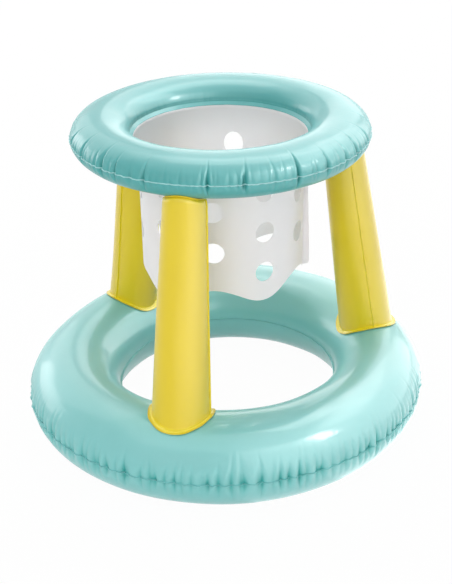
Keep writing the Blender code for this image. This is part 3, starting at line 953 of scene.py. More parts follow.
    def meet(self, start: Array, direction: Array, offset: float) -> Array:
        """Where lines that start inside the tube leave the skin, moved out by an offset.

        The distance is halved in on for many steps, as the section has no simple answer.

        Args:
            start: points inside the tube.
            direction: unit directions.
            offset: how far outside the skin the answer lies.

        Returns:
            The points on the offset skin.
        """
        near = np.zeros(start.shape[:-1])
        far = np.full(start.shape[:-1], 2 * (self.half_width + self.half_height))
        halvings = 40
        for _ in range(halvings):
            middle = (near + far) / 2
            point = start + direction * middle[..., None]
            radius = np.hypot(point[..., 0], point[..., 1])
            across = (radius - self.centre_radius) / (self.half_width + offset)
            rise = (point[..., 2] - self.centre_height) / (self.half_height + offset)
            beyond = np.hypot(across, rise) > 1
            far, near = np.where(beyond, middle, far), np.where(beyond, near, middle)
        return start + direction * far[..., None]

    def seat(self, point: Array, offset: Array) -> Array:
        """Move points near the skin straight out from the tube's centre line.

        Args:
            point: places near the skin.
            offset: how far outside the skin each comes to lie.

        Returns:
            The points on the offset skin.
        """
        radius = np.hypot(point[..., 0], point[..., 1])
        across = (radius - self.centre_radius) / self.half_width
        rise = (point[..., 2] - self.centre_height) / self.half_height
        seated, height = self.section(np.arctan2(rise, across), offset)
        level = [point[..., k] / radius * seated for k in range(2)]
        return np.stack([*level, self.centre_height + height], -1)

    def build(self, material: bpy.types.Material) -> None:
        """Make and dress both panels."""
        dress(self.panel(Side.FIRST), material, nodes=(f"{self.name}_upper_skin",))
        dress(self.panel(Side.SECOND), material, nodes=(f"{self.name}_lower_skin",))


@dataclass
class AirLeg:
    """A tapered air leg of two film panels that leans inwards from the base ring to the hoop ring."""

    name: str
    polar_angle: float
    base: InflatedRing
    hoop: InflatedRing
    seed: int
    head_turn: float = 0.0
    foot_offset: float = 0.0019
    head_offset: float = 0.0067
    foot_radius: float = 0.0483
    head_radius: float = 0.0309
    seam_fin: float = 0.0018
    fin_tint: float = 0.8
    shoulder_depth: float = 0.0038
    shoulder_length: float = 0.0080
    foot_collar: float = 0.0062
    head_collar: float = 0.0022
    collar_seat: float = 0.0005
    collar_thickness: float = 0.0007
    collar_lap: float = 0.0030
    collar_lip: float = 0.0011
    collar_columns: int = 144
    seat: float = 0.0017
    film: float = 0.0004
    weld_gap: float = 0.0002
    # Pucker depth at which the painted crease shade is full.
    full_crease_shade_depth: float = 0.0016
    columns: int = 84
    rows: int = 110
    shoulder_rows: int = 10
    row_crowding: float = 0.45
    pucker_count: int = 22
    nick_count: int = 36

    def __post_init__(self) -> None:
        """Work out the leg's axis and the directions beside it."""
        out = spoke(self.polar_angle)
        self.sideways = np.array([-out[1], out[0], 0])
        self.foot = out * (self.base.centre_radius + self.foot_offset) + [0, 0, self.base.centre_height]
        above = spoke(self.polar_angle + self.head_turn)
        head = above * (self.hoop.centre_radius + self.head_offset) + [0, 0, self.hoop.centre_height]
        self.length = float(np.linalg.norm(head - self.foot))
        self.along = (head - self.foot) / self.length
        self.across = np.cross(self.sideways, self.along)

    def beside(self, distance: Array | float, reach: Array | float, turn: Array) -> Array:
        """Points beside the axis.

        Args:
            distance: how far up the axis.
            reach: how far away from it.
            turn: angle round it, 0 being the outward side.

        Returns:
            The places.
        """
        distance, reach, turn = np.broadcast_arrays(distance, reach, turn)
        up, out = self.foot + distance[..., None] * self.along, (reach * np.cos(turn))[..., None]
        return up + out * self.across + (reach * np.sin(turn))[..., None] * self.sideways

    def foot_point(self, turn: Array, inset: float, offset: float) -> Array:
        """Where the leg's side meets the base ring.

        Args:
            turn: angles round the leg's axis.
            inset: how far the side is moved in.
            offset: how far outside the ring's skin the answer lies.

        Returns:
            The places.
        """
        start = self.beside(0.0, self.foot_radius - inset, turn)
        run = self.beside(self.length, self.head_radius - inset, turn) - start
        return self.base.meet(start, unit(run), offset)

    def head_point(self, turn: Array, inset: float, offset: float) -> Array:
        """Where a line beside the axis, as wide as the shoulder's top, meets the hoop's offset skin."""
        start = self.beside(self.length, self.head_radius - self.shoulder_depth - inset, turn)
        return self.hoop.meet(start, np.broadcast_to(-self.along, start.shape), offset)

    def distance_up(self, point: Array) -> Array:
        """How far up the axis points lie."""
        return (point - self.foot) @ self.along

    def panel(self, side: Side) -> bpy.types.Object:
        """One film panel, as a sheet from one seam's fin to the other's.

        The leg's radius falls evenly from foot to head and ends in a quarter-round shoulder. Short
        puckers run up from the foot's weld and down from the head's, and nicks line both side seams.

        Args:
            side: the outer or the inner panel.

        Returns:
            The panel, with its film's thickness.
        """
        facing = 0.0 if side is Side.FIRST else math.pi
        half = math.pi / 2
        spread = np.sin(np.linspace(-half, half, self.columns)) * 0.5 + np.linspace(-0.5, 0.5, self.columns)
        turn = facing + half * spread[None, :]
        bottom = self.distance_up(self.foot_point(turn, 0.0, self.seat))
        top = self.distance_up(self.head_point(turn, 0.0, self.seat))
        start = top - self.shoulder_length
        ramp = np.linspace(0, 1, self.rows)[:, None]
        ramp = ramp - self.row_crowding * np.sin(math.tau * ramp) / math.tau * 2
        straight = bottom + (start - bottom) * ramp
        bend = np.linspace(0, half, self.shoulder_rows)[1:, None]
        taper = (self.head_radius - self.foot_radius) / self.length
        narrow = self.head_radius - self.shoulder_depth
        full = self.foot_radius + taper * start
        distance = np.concatenate([straight, start + self.shoulder_length * np.sin(bend)])
        reach = np.concatenate([self.foot_radius + taper * straight, narrow + (full - narrow) * np.cos(bend)])
        seam_gap = np.abs(np.abs(turned_from(turn, facing)) - half)
        sunk = self.puckers(turn, distance, bottom, top, seam_gap * reach)
        reach = reach - sunk
        face = self.weld_gap / 2 + self.film
        points = self.beside(distance, reach, turn)
        flat = (points - self.foot) @ self.across
        lifted = side.value * np.maximum(side.value * flat, face) - flat
        points += lifted[..., None] * self.across
        first, last = (
            self.fin_columns(
                distance[:, end], reach[:, end], math.copysign(1, math.sin(turn[0, end])), side.value * face
            )
            for end in (0, -1)
        )
        points = np.concatenate([first, points, last[:, ::-1]], 1)
        faces = quads(*points.shape[:2], wrapped=False)
        core = self.foot + self.distance_up(points)[..., None] * self.along
        weld = bell(seam_gap * reach, 0.0010) + bell(distance - bottom, 0.0018)
        on_fin = np.full((len(points), 2), self.fin_tint)
        weld = np.clip(np.concatenate([on_fin, weld, on_fin], 1), 0, 1)
        # Painted shade in the creases of the puckers.
        fold = np.pad(np.clip(sunk / self.full_crease_shade_depth, 0, 1), ((0, 0), (2, 2)))
        name = f"leg_{self.name}_{'outer' if side is Side.FIRST else 'inner'}_film"
        return film_sheet(name, points, faces, core, {Detail.WELD: weld, Detail.FOLD: fold}, self.film)

    def puckers(self, turn: Array, distance: Array, bottom: Array, top: Array, from_seam: Array) -> Array:
        """Sink the film at the foot's weld, at the head's weld and beside the seams.

        Args:
            turn: angle round the leg's axis.
            distance: how far up the axis.
            bottom: where the foot's weld lies on it.
            top: where the head's weld lies on it.
            from_seam: distance from the nearer side seam.

        Returns:
            How far the film sinks: depth x exp(-(distance / width)^power) for each fold, summed.
        """
        rng = np.random.default_rng(self.seed)
        count, nicks = self.pucker_count, self.nick_count
        places = (np.arange(count) + rng.uniform(-0.3, 0.3, count)) * math.tau / count
        depths = rng.uniform(0.2, 1.0, count)
        valleys = (depths * bell(np.abs(turned_from(turn[..., None], places)), 0.045, 1.4)).sum(-1)
        foot = 0.0007 * valleys * bell(distance - bottom, 0.009, 1.2)
        head = 0.0006 * np.roll(valleys, 5, -1) * bell(np.maximum(top - distance, 0), 0.012, 1.2)
        heights = (rng.uniform(0, 1, nicks) + np.arange(nicks)) * self.length / nicks
        size = rng.uniform(0.1, 1.0, nicks) ** 1.5
        beside = (size * bell(np.abs(distance[..., None] - heights), 0.0025, 1.5)).sum(-1)
        return foot + head + 0.0007 * beside * bell(from_seam, 0.006, 1.2)

    def fin_columns(self, distance: Array, reach: Array, sign: float, level: float) -> Array:
        """The edge and the middle of a seam's fin, straight out sideways from the seam.

        Args:
            distance: how far up the axis each row is.
            reach: the seam's distance from the axis.
            sign: which of the two seams, by the side that it is on.
            level: how far the panel's face stands from the seams' plane.

        Returns:
            Two columns of places.
        """
        rng = np.random.default_rng(self.seed + 9)
        starts, speeds = rng.uniform(0, math.tau, 5), rng.uniform(60, 420, 5)
        ripple = np.cos(distance[:, None] * speeds + starts).sum(-1) / 3
        seam = self.foot + distance[:, None] * self.along
        edge = [
            seam + (level + lift * ripple)[:, None] * self.across
            + (sign * (reach + share * self.seam_fin))[:, None] * self.sideways
            for share, lift in ((1.0, 0.0004), (0.5, 0.00014))
        ]
        return np.stack(edge, 1)

    def collar(self, ring: InflatedRing, place: str, width: float, lip: float) -> bpy.types.Object:
        """A band that lies on a ring's skin round the leg's end, with a rounded rim that lifts at its lip.

        Args:
            ring: the ring that it lies on.
            place: foot or head.
            width: how far it shows beyond the leg.
            lip: how far its rim stands up.

        Returns:
            The band, a closed loop of a flat section.
        """
        point_at = self.foot_point if place == "foot" else self.head_point
        turn = whole_turn(self.collar_columns)
        inner, outer = point_at(turn, self.collar_lap, 0.0), point_at(turn, 0.0, 0.0)
        away = unit(outer - inner)
        reach = width * (1 + 0.05 * waves(np.random.default_rng(self.seed + 4), turn, 2, 14, 5))
        lap, low, high = -self.collar_lap, self.collar_seat, self.collar_seat + self.collar_thickness
        # Share of the width (or metres where below 0), height over the skin, share of the lip, weld tint
        section = (
            (lap, low, 0.0, 0.2), (0.25, low, 0.1, 0.2), (0.7, low, 0.6, 0.2), (0.95, low, 1.0, 0.3),
            (1.0, (low + high) / 2, 1.0, 0.2), (0.97, high + 0.0001, 1.0, 0.0),
            (0.88, high + 0.00015, 0.95, 0.0), (0.72, high, 0.62, 0.5), (0.45, high, 0.22, 0.7),
            (0.2, high + 0.0002, 0.05, 0.9), (0.05, high + 0.0007, 0.0, 0.8), (lap, high, 0.0, 0.2),
        )
        loops = []
        for share, height, lifted, _ in section:
            beyond = reach * share if share > 0 else np.full_like(turn, share)
            loops.append(ring.seat(outer + away * beyond[:, None], np.full_like(turn, height + lip * lifted)))
        rim = np.array([line[3] for line in section])[:, None] * (1.0 if place == "foot" else 0.3)
        carried = {Detail.WELD: rim, Detail.FOLD: np.zeros(1)}
        return closed_shape(f"leg_{self.name}_{place}_band", np.stack(loops), carried=carried)

    def build(self, material: bpy.types.Material) -> None:
        """Make and dress both panels and both bands.

        Args:
            material: the film's finish.
        """
        stem = f"leg_{self.name}"
        dress(self.panel(Side.FIRST), material, nodes=(f"{stem}_outer_panel",))
        dress(self.panel(Side.SECOND), material, nodes=(f"{stem}_inner_panel",))
        foot = self.collar(self.base, "foot", self.foot_collar, self.collar_lip)
        dress(foot, material, nodes=(f"{stem}_foot_collar",))
        head = self.collar(self.hoop, "head", self.head_collar, 0.0)
        dress(head, material, nodes=(f"{stem}_head_collar",))


@dataclass
class HangingNet:
    """The vinyl net: a sheet with round holes and a scalloped hem, rolled and welded along one seam."""

    hoop: InflatedRing
    thickness: float = 0.0004
    throat_inset: float = 0.0050
    waist_inset: float = 0.0103
    waist_drop: float = 0.0550
    hem_inset: float = 0.0122
    hem_drop: float = 0.2283
    hem_wave: float = 0.0135
    top_drop: float = 0.0064
    fixed_share: float = 0.72
    lip_gap: float = 0.0002
    lip_start: float = 0.0008
    lip_rows: int = 4
    lobes: int = 5
    first_angle: float = math.radians(-79.75)
    hole_radius: float = 0.0165
    hole_pitch: float = 0.0668
    short_drop: float = 0.0843
    long_drop: float = 0.0590
    seam_angle: float = math.radians(10.25)
    seam_top: tuple[float, float] = (0.0500, 0.0045)
    seam_hem: tuple[float, float] = (0.2285, 0.0110)
    seam_tuck: float = 0.105
    seam_margin: float = 0.0100
    sag: float = 0.0095
    sag_angle: float = math.radians(103)
    sag_width: float = 1.0
    columns: int = 420
    rows: int = 96
    seed: int = 31

    def radius(self, drop: Array) -> Array:
        """The net's radius at a drop below the hoop ring's centre: straight from throat to waist to hem."""
        insets = [self.throat_inset, self.waist_inset, self.hem_inset]
        return self.hoop.inner_radius - np.interp(drop, [0.0, self.waist_drop, self.hem_drop], insets)

    def hem(self, angle: Array) -> Array:
        """The hem's drop: its mean less a wave that rises under each short column of holes."""
        bend = self.tuck(angle) * np.clip((angle - self.seam_angle) % math.tau / 0.3, 0, 1)
        return self.hem_drop - self.hem_wave * np.cos(self.lobes * (angle + bend - self.first_angle))

    def hole_centres(self) -> Array:
        """Place the holes: short columns of two take turns with long columns of three.

        Behind the side seam they sit closer to it, by seam_tuck fading in a straight line over half a turn.

        Returns:
            Angle and drop of each hole, one a line.
        """
        angle = self.first_angle + math.tau * np.arange(2 * self.lobes) / (2 * self.lobes)
        short = [(a, self.short_drop + k * self.hole_pitch) for a in angle[::2] for k in range(2)]
        long = [(a, self.long_drop + k * self.hole_pitch) for a in angle[1::2] for k in range(3)]
        centres = np.array(short + long)
        centres[:, 0] -= self.tuck(centres[:, 0])
        return centres

    def tuck(self, angle: Array) -> Array:
        """How much closer to the side seam the film behind it sits."""
        behind = (angle - self.seam_angle) % math.tau / math.pi
        return self.seam_tuck * np.clip(1 - behind, 0, 1)

    def sway(self, angle: Array, drop: Array) -> Array:
        """How far the sheet stands out or in: slack lobes that grow towards the hem, and faint ripples.

        Args:
            angle: angles round the net.
            drop: drops below the hoop ring's centre.

        Returns:
            The distance outwards at each point.
        """
        rng = np.random.default_rng(self.seed)
        slack = np.clip(drop / self.hem_drop, 0, 1.1)
        lobe = np.cos(self.lobes * (angle - self.first_angle) + 0.5)
        slow = waves(rng, angle, 2, 5, 3)
        ripple = waves(rng, angle + 0.6 * drop / self.hem_drop, 9, 24, 5)
        return 0.0015 * slack + 0.0009 * slack**2 * lobe + 0.0012 * slack * slow + 0.00045 * slack * ripple

    def sheet(self) -> bpy.types.Object:
        """The rolled sheet, from its welded lip under the hoop's fin down to the hem.

        The radius follows straight runs between throat, waist and hem. Drops below the fixed share of the
        hem's stretch or shrink evenly so that the last row lies on the scalloped hem. At the back the
        sheet hangs lower by sag x exp(-(angle from there / width)^2).

        Returns:
            The sheet, with holes and thickness.
        """
        angle = whole_turn(self.columns)[None, :]
        fixed = self.fixed_share * self.hem_drop
        drop = self.top_drop + (self.hem_drop - self.top_drop) * np.linspace(0, 1, self.rows)[:, None]
        stretched = (drop - fixed) * (self.hem(angle) - fixed) / (self.hem_drop - fixed)
        drop = np.where(drop > fixed, fixed + stretched, drop)
        waist = float(self.radius(np.array(self.waist_drop)))
        holes = RoundHoles(self.hole_centres() * [waist, 1.0], self.hole_radius)
        along = np.broadcast_to(angle, drop.shape) * waist
        along, drop, keep = holes.punch(along, drop, math.tau * waist)
        angle = along / waist
        radius = self.radius(drop) + self.sway(angle, drop)
        sagging = self.sag * bell(turned_from(angle, self.sag_angle), self.sag_width)
        drop = drop + sagging * np.clip(drop / self.waist_drop, 0, 1.3)
        droop, width = self.hoop.inner_droop, (self.lip_rows, self.columns)
        reach = np.linspace(self.lip_start, self.hoop.inner_fin, self.lip_rows)[:, None]
        lip_radius = self.hoop.inner_radius - reach * math.cos(droop)
        lip_height = -(self.hoop.seam_face + self.lip_gap + self.thickness) - reach * math.sin(droop)
        radius = np.concatenate([np.broadcast_to(lip_radius, width), radius])
        height = np.concatenate([np.broadcast_to(lip_height, width), -drop])
        angle = np.concatenate([np.repeat(angle[:1], self.lip_rows, 0), angle])
        keep = np.pad(keep, ((self.lip_rows, 0), (0, 0)), constant_values=True)
        points = upright(radius, angle, self.hoop.centre_height + height)
        faces = quads(len(points), self.columns, wrapped=True)[keep.ravel()]
        core = upright(0.0, angle, self.hoop.centre_height + height - 0.02)
        weld = bell(turned_from(angle, self.seam_angle) * waist, 0.0012) * 0.8 + bell(height, 0.002)
        carried = {Detail.WELD: np.clip(weld, 0, 1), Detail.FOLD: np.zeros(1)}
        return film_sheet("net_film", points, faces, core, carried, self.thickness)

    def fin(self) -> bpy.types.Object:
        """The upright seam's fin: two layers that stand out from the net's side and widen downwards.

        Its drop runs evenly from the top to the hem, and its width grows with drop^0.8 and rounds off at
        both ends. Away from the net it bends sideways with the square of the distance.

        Returns:
            The fin.
        """
        rows, columns = 60, 8
        level, across = np.linspace(0, 1, rows)[:, None], np.linspace(0, 1, columns)[None, :]
        drop = self.seam_top[0] + (self.seam_hem[0] - self.seam_top[0]) * level
        width = self.seam_top[1] + (self.seam_hem[1] - self.seam_top[1]) * level**0.8
        rounded = np.sqrt(np.clip(np.minimum(level, 1 - level) / 0.03, 0, 1))
        drop = drop + 0.003 * across * (0.5 - level)
        radius = self.radius(drop) + self.sway(np.full_like(drop, self.seam_angle), drop)
        radius = radius - 0.0003 + (width * (0.85 + 0.15 * rounded)) * across
        rng = np.random.default_rng(self.seed + 1)
        bend = waves(rng, level * 6, 1, 5, 3) * 0.0016 * across**1.5 + 0.002 * across**2
        out = spoke(self.seam_angle)
        points = radius[..., None] * out + bend[..., None] * np.array([-out[1], out[0], 0])
        points[..., 2] = self.hoop.centre_height - drop
        carried = {Detail.WELD: 0.75 * bell(across - 0.25, 0.12), Detail.FOLD: np.zeros(1)}
        made = mesh_object("net_side_seam", points, quads(*points.shape[:2], wrapped=False), carried)
        thicken(made, 2 * self.thickness, offset=0.0)
        return made

    def build(self, material: bpy.types.Material) -> None:
        """Args:
            material: the net's finish.
        """
        sheet, fin = self.sheet(), self.fin()
        dress(sheet, material, nodes=("net_sheet",))
        dress(fin, material)
        around = math.tau * float(self.radius(np.array(self.hem_drop / 2)))
        width = around + 2 * self.seam_margin
        length = self.hem_drop + self.hem_wave + self.throat_inset
        holes = len(self.hole_centres()) * math.pi * self.hole_radius**2
        area = around * (self.hem_drop + self.throat_inset) - holes


@dataclass
class AirValve:
    """A push-in air valve on the back of a ring, built along its own axis."""

    name: str
    ring: InflatedRing
    flange_radius: float = 0.0155
    well_radius: float = 0.0102
    well_foot_radius: float = 0.0086
    well_depth: float = 0.0130
    membrane: float = 0.00045
    stem_radius: float = 0.0055
    bore_radius: float = 0.0039
    stem_top: float = 0.0010
    stem_foot_radius: float = 0.0068
    stem_foot_thickness: float = 0.0008
    plug_radius: float = 0.0067
    plug_thickness: float = 0.0018
    pin_length: float = 0.0065
    strap_width: float = 0.0030
    strap_thickness: float = 0.0007
    strap_top: float = 0.0020
    strap_loop: float = 0.0075
    flap_thickness: float = 0.0006
    hinge_offset: float = 0.0052
    gap: float = 0.0003
    sides: int = 72

    def __post_init__(self) -> None:
        """Work out the valve's frame: its mouth on the skin and its axis square to it."""
        tilt = self.ring.valve_tilt
        radius, height = self.ring.section(np.array(tilt))
        self.origin = np.array([0.0, float(radius), self.ring.centre_height + float(height)])
        lean = np.array([0.0, math.cos(tilt) / self.ring.half_width, math.sin(tilt) / self.ring.half_height])
        self.axis = lean / np.linalg.norm(lean)
        self.side = np.array([-1.0, 0.0, 0.0])
        self.third = np.cross(self.axis, self.side)
        self.foot = -(self.well_depth + self.membrane + self.gap + self.stem_foot_thickness)

    def put(self, x: Array | float, y: Array | float, z: Array | float) -> Array:
        """Turn the valve's own coordinates into places in the scene."""
        x, y, z = np.broadcast_arrays(x, y, z)
        return self.origin + x[..., None] * self.side + y[..., None] * self.third + z[..., None] * self.axis

    def turned(self, word: str, outline: list[tuple[float, float]]) -> bpy.types.Object:
        """Turn a closed outline of radius and height round the valve's axis.

        Args:
            word: last word of the piece's name.
            outline: radius and height pairs. An outline that starts and ends on the axis closes there.

        Returns:
            The turned piece.
        """
        radius, height = np.array(outline).T[:, :, None]
        turn = whole_turn(self.sides)[None, :]
        points = self.put(radius * np.cos(turn), radius * np.sin(turn), height)
        return closed_shape(f"{self.name}_valve_{word}", points, looped=outline[0][0] != 0)

    def rim(self) -> bpy.types.Object:
        """The flange: it follows the skin's curve, with a raised bead at its mouth and a pressed ring.

        Returns:
            The flange, a loop of radii and heights over the skin.
        """
        turn, well, edge = whole_turn(self.sides), self.well_radius, self.flange_radius
        section = (
            (well, 0.0005), (0.5 * (well + edge), 0.0005), (edge, 0.0005), (edge + 0.0001, 0.0007),
            (edge - 0.0002, 0.0010), (edge - 0.0009, 0.0011), (0.0136, 0.0010), (0.0131, 0.0013),
            (0.0126, 0.0013), (0.0121, 0.0010), (0.0115, 0.0013), (0.0110, 0.0018), (0.0105, 0.0018),
            (well, 0.0014),
        )
        loops = []
        for reach, offset in section:
            start = self.put(reach * np.cos(turn), reach * np.sin(turn), -self.well_depth)
            loops.append(self.ring.meet(start, np.broadcast_to(self.axis, start.shape), offset))
        return closed_shape(f"{self.name}_valve_rim", np.stack(loops))

    def wall(self) -> bpy.types.Object:
        """The well's thin wall, which rolls as the stem moves: it is drawn in many short rows.

        From mouth to foot its radius falls with the square of the depth. Its floor is flat.

        Returns:
            The wall.
        """
        mouth, neck = self.well_radius - self.gap, self.stem_radius + 0.0002
        corner, depth = self.well_foot_radius, -self.well_depth
        run = np.linspace(0, 1, 16)
        radius = np.concatenate([mouth + (corner - mouth) * run**2, np.linspace(corner - 0.0004, neck, 7)])
        height = np.concatenate([0.0004 + (depth + 0.0006 - 0.0004) * run, np.full(7, depth)])
        inner = list(zip(radius, height))
        outer = [(r - self.membrane, h + self.membrane * 0.6) for r, h in inner[:-3]]
        return self.turned("wall", inner + [(neck, depth + self.membrane)] + outer[::-1])

    def stem(self) -> bpy.types.Object:
        """The tube that is blown into.

        Returns:
            The tube, with a rounded lip, a slight waist and a foot ring.
        """
        top, foot, side, bore = -self.stem_top, self.foot, self.stem_radius, self.bore_radius
        wide, step = self.stem_foot_radius, foot + self.stem_foot_thickness
        return self.turned("stem", [
            (bore, top - 0.0003), (bore + 0.0002, top - 0.00005), (bore + 0.0006, top), (side - 0.0004, top),
            (side - 0.0001, top - 0.0001), (side, top - 0.0004), (side, top - 0.0016),
            (side - 0.0003, top - 0.0019), (side - 0.0003, top - 0.0040), (side, step + 0.0008), (side, step),
            (wide, step), (wide, foot + 0.0002), (wide - 0.0002, foot), (bore, foot),
        ])

    def plug(self) -> bpy.types.Object:
        """The cap on the stem.

        Returns:
            The cap: a dished head with a rounded edge, and a ribbed tapering pin.
        """
        seat = -self.stem_top + self.gap
        head, tip = seat + self.plug_thickness, seat - self.pin_length
        edge, pin = self.plug_radius, self.bore_radius - self.gap
        return self.turned("plug", [
            (0.0, head - 0.0004), (0.0032, head - 0.0004), (0.0040, head - 0.0002), (0.0046, head),
            (edge - 0.0007, head), (edge - 0.0002, head - 0.0002), (edge, head - 0.0007),
            (edge, seat + 0.0003), (edge - 0.0003, seat), (pin + 0.0002, seat), (pin, seat - 0.0003),
            (pin, seat - 0.0020), (pin - 0.0004, seat - 0.0024), (pin - 0.0004, seat - 0.0040),
            (pin - 0.0001, seat - 0.0046), (pin - 0.0002, seat - 0.0052), (pin - 0.0009, tip + 0.0002),
            (pin - 0.0015, tip), (0.0, tip),
        ])

    def strap(self) -> bpy.types.Object:
        """The strap: a flat ribbon down the stem's side, round a tight bend and up to the plug's rim.

        A section of eight corners is carried along the path, square to it, and narrows at both ends.

        Returns:
            The strap.
        """
        half = self.strap_thickness / 2
        stem_run, plug_run = (radius + self.gap + half for radius in (self.stem_radius, self.plug_radius))
        bend = (plug_run - stem_run) / 2
        down = np.linspace(-self.strap_top, -self.strap_loop, 24)
        turn = np.linspace(0, math.pi, 16)[1:]
        up = np.linspace(-self.strap_loop, self.plug_thickness - self.stem_top, 34)[1:]
        round_bend = stem_run + bend * (1 - np.cos(turn))
        x = np.concatenate([np.full_like(down, stem_run), round_bend, np.full_like(up, plug_run)])
        z = np.concatenate([down, -self.strap_loop - bend * np.sin(turn), up])
        out_x, out_z = np.gradient(z), -np.gradient(x)
        size, count = np.hypot(out_x, out_z), len(x)
        from_end = np.minimum(np.arange(count), np.arange(count)[::-1])
        wide = self.strap_width / 2 * np.sqrt(np.clip(from_end / 4, 0.25, 1))
        corners = np.array([
            (-1, 0.8), (-0.6, 1), (0.6, 1), (1, 0.8), (1, -0.8), (0.6, -1), (-0.6, -1), (-1, -0.8)
        ])
        across, through = corners[:, 0:1] * wide, corners[:, 1:2] * half
        points = self.put(x + through * out_x / size, across, z + through * out_z / size)
        caps = [
            [k * count + end for k in corner][::order]
            for corner in ((0, 1, 2, 3), (4, 5, 6, 7), (0, 3, 4, 7))
            for end, order in ((0, 1), (count - 1, -1))
        ]
        faces = np.concatenate([quads(len(corners), count, wrapped=False, looped=True), caps])
        made = mesh_object(f"{self.name}_valve_strap", points, faces)
        mend(made, face_outwards)
        smooth(made)
        return made

    def flap(self) -> bpy.types.Object:
        """The check flap: a thin disc under the bore that narrows to a hinged tab.

        Returns:
            The flap: towards the hinge its radius grows with the 24th power of the angle's cosine.
        """
        turn = whole_turn(self.sides)[None, :]
        rows = np.array([0.0, 0.5, 0.85, 1.0, 1.0, 0.85, 0.5, 0.0])[:, None]
        top, low, bevel = self.foot - self.gap, -self.flap_thickness, 0.0001
        heights = np.array([0.0, 0.0, 0.0, -bevel, low + bevel, low, low, low])[:, None] + top
        disc = self.bore_radius + 0.0006
        toward = np.clip(np.cos(turn), 0, 1) ** 24
        x = rows * (disc * np.cos(turn) + toward * (self.hinge_offset - disc))
        points = self.put(x, rows * disc * np.sin(turn), heights)
        return closed_shape(f"{self.name}_valve_flap", points, looped=False)

    def build(self, material: bpy.types.Material) -> None:
        """Make and dress the valve's pieces on their bodies. The wall and the strap ride on none: their
        places are baked into their meshes.

        Args:
            material: the valve's finish.
        """
        valve, stem, plug = f"{self.name}_valve", f"{self.name}_stem", f"{self.name}_plug"
        dress(self.rim(), material, nodes=(f"{valve}_flange",))
        dress(self.stem(), material, stem, (f"{valve}_stem",))
        dress(self.plug(), material, plug, (f"{valve}_plug",))
        dress(self.flap(), material, f"{self.name}_flap", (f"{valve}_flap",))
        wall = dress(self.wall(), material, "", (f"{valve}_membrane",))
        mouth, bottom = self.origin, self.origin - self.axis * self.well_depth
        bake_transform(wall)
        strap = dress(self.strap(), material, "", (f"{valve}_strap",))
        near, far = self.stem_radius + self.gap + self.strap_thickness, self.plug_radius + self.gap
        start, end = (tuple(self.put(reach, 0.0, 0.0)) for reach in (near, far))
        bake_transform(strap)


# The studio


class Lights(Enum):
    """What a lamp lights: only what surfaces mirror, or only their dull body."""

    GLOSS = "gloss"
    BODY = "body"


@dataclass
class Softbox:
    """An area lamp that looks at the object. Its angles are in degrees."""

    name: str
    polar_angle: float
    elevation: float
    distance: float
    size: tuple[float, float]
    brightness: float
    lights: Lights = Lights.GLOSS
    lies_flat: bool = False
    colour: Colour = (1.0, 1.0, 1.0)

    def build(self, target: Vector) -> None:
        """Hang the lamp on a sphere round the target, or lay it on the floor under the sphere's point.

        Args:
            target: the point that it looks at.
        """
        data = bpy.data.lights.new(self.name, "AREA")
        data.shape = "RECTANGLE"
        data.size, data.size_y = self.size
        data.energy = self.brightness * math.pi * self.size[0] * self.size[1]
        data.color = self.colour
        made = bpy.data.objects.new(self.name, data)
        angle, rise = math.radians(self.polar_angle), math.radians(self.elevation)
        level = math.cos(rise)
        away = Vector((math.cos(angle) * level, math.sin(angle) * level, math.sin(rise)))
        made.location = target + away * self.distance
        made.rotation_euler = away.to_track_quat("Z", "Y").to_euler()
        if self.lies_flat:
            just_above_floor = 0.0005
            made.location = Vector((made.location.x, made.location.y, just_above_floor))
            made.rotation_euler = (math.pi, 0, angle)
        made.visible_camera = False
        made.visible_diffuse = self.lights is Lights.BODY
        made.visible_glossy = self.lights is Lights.GLOSS
        bpy.context.scene.collection.objects.link(made)


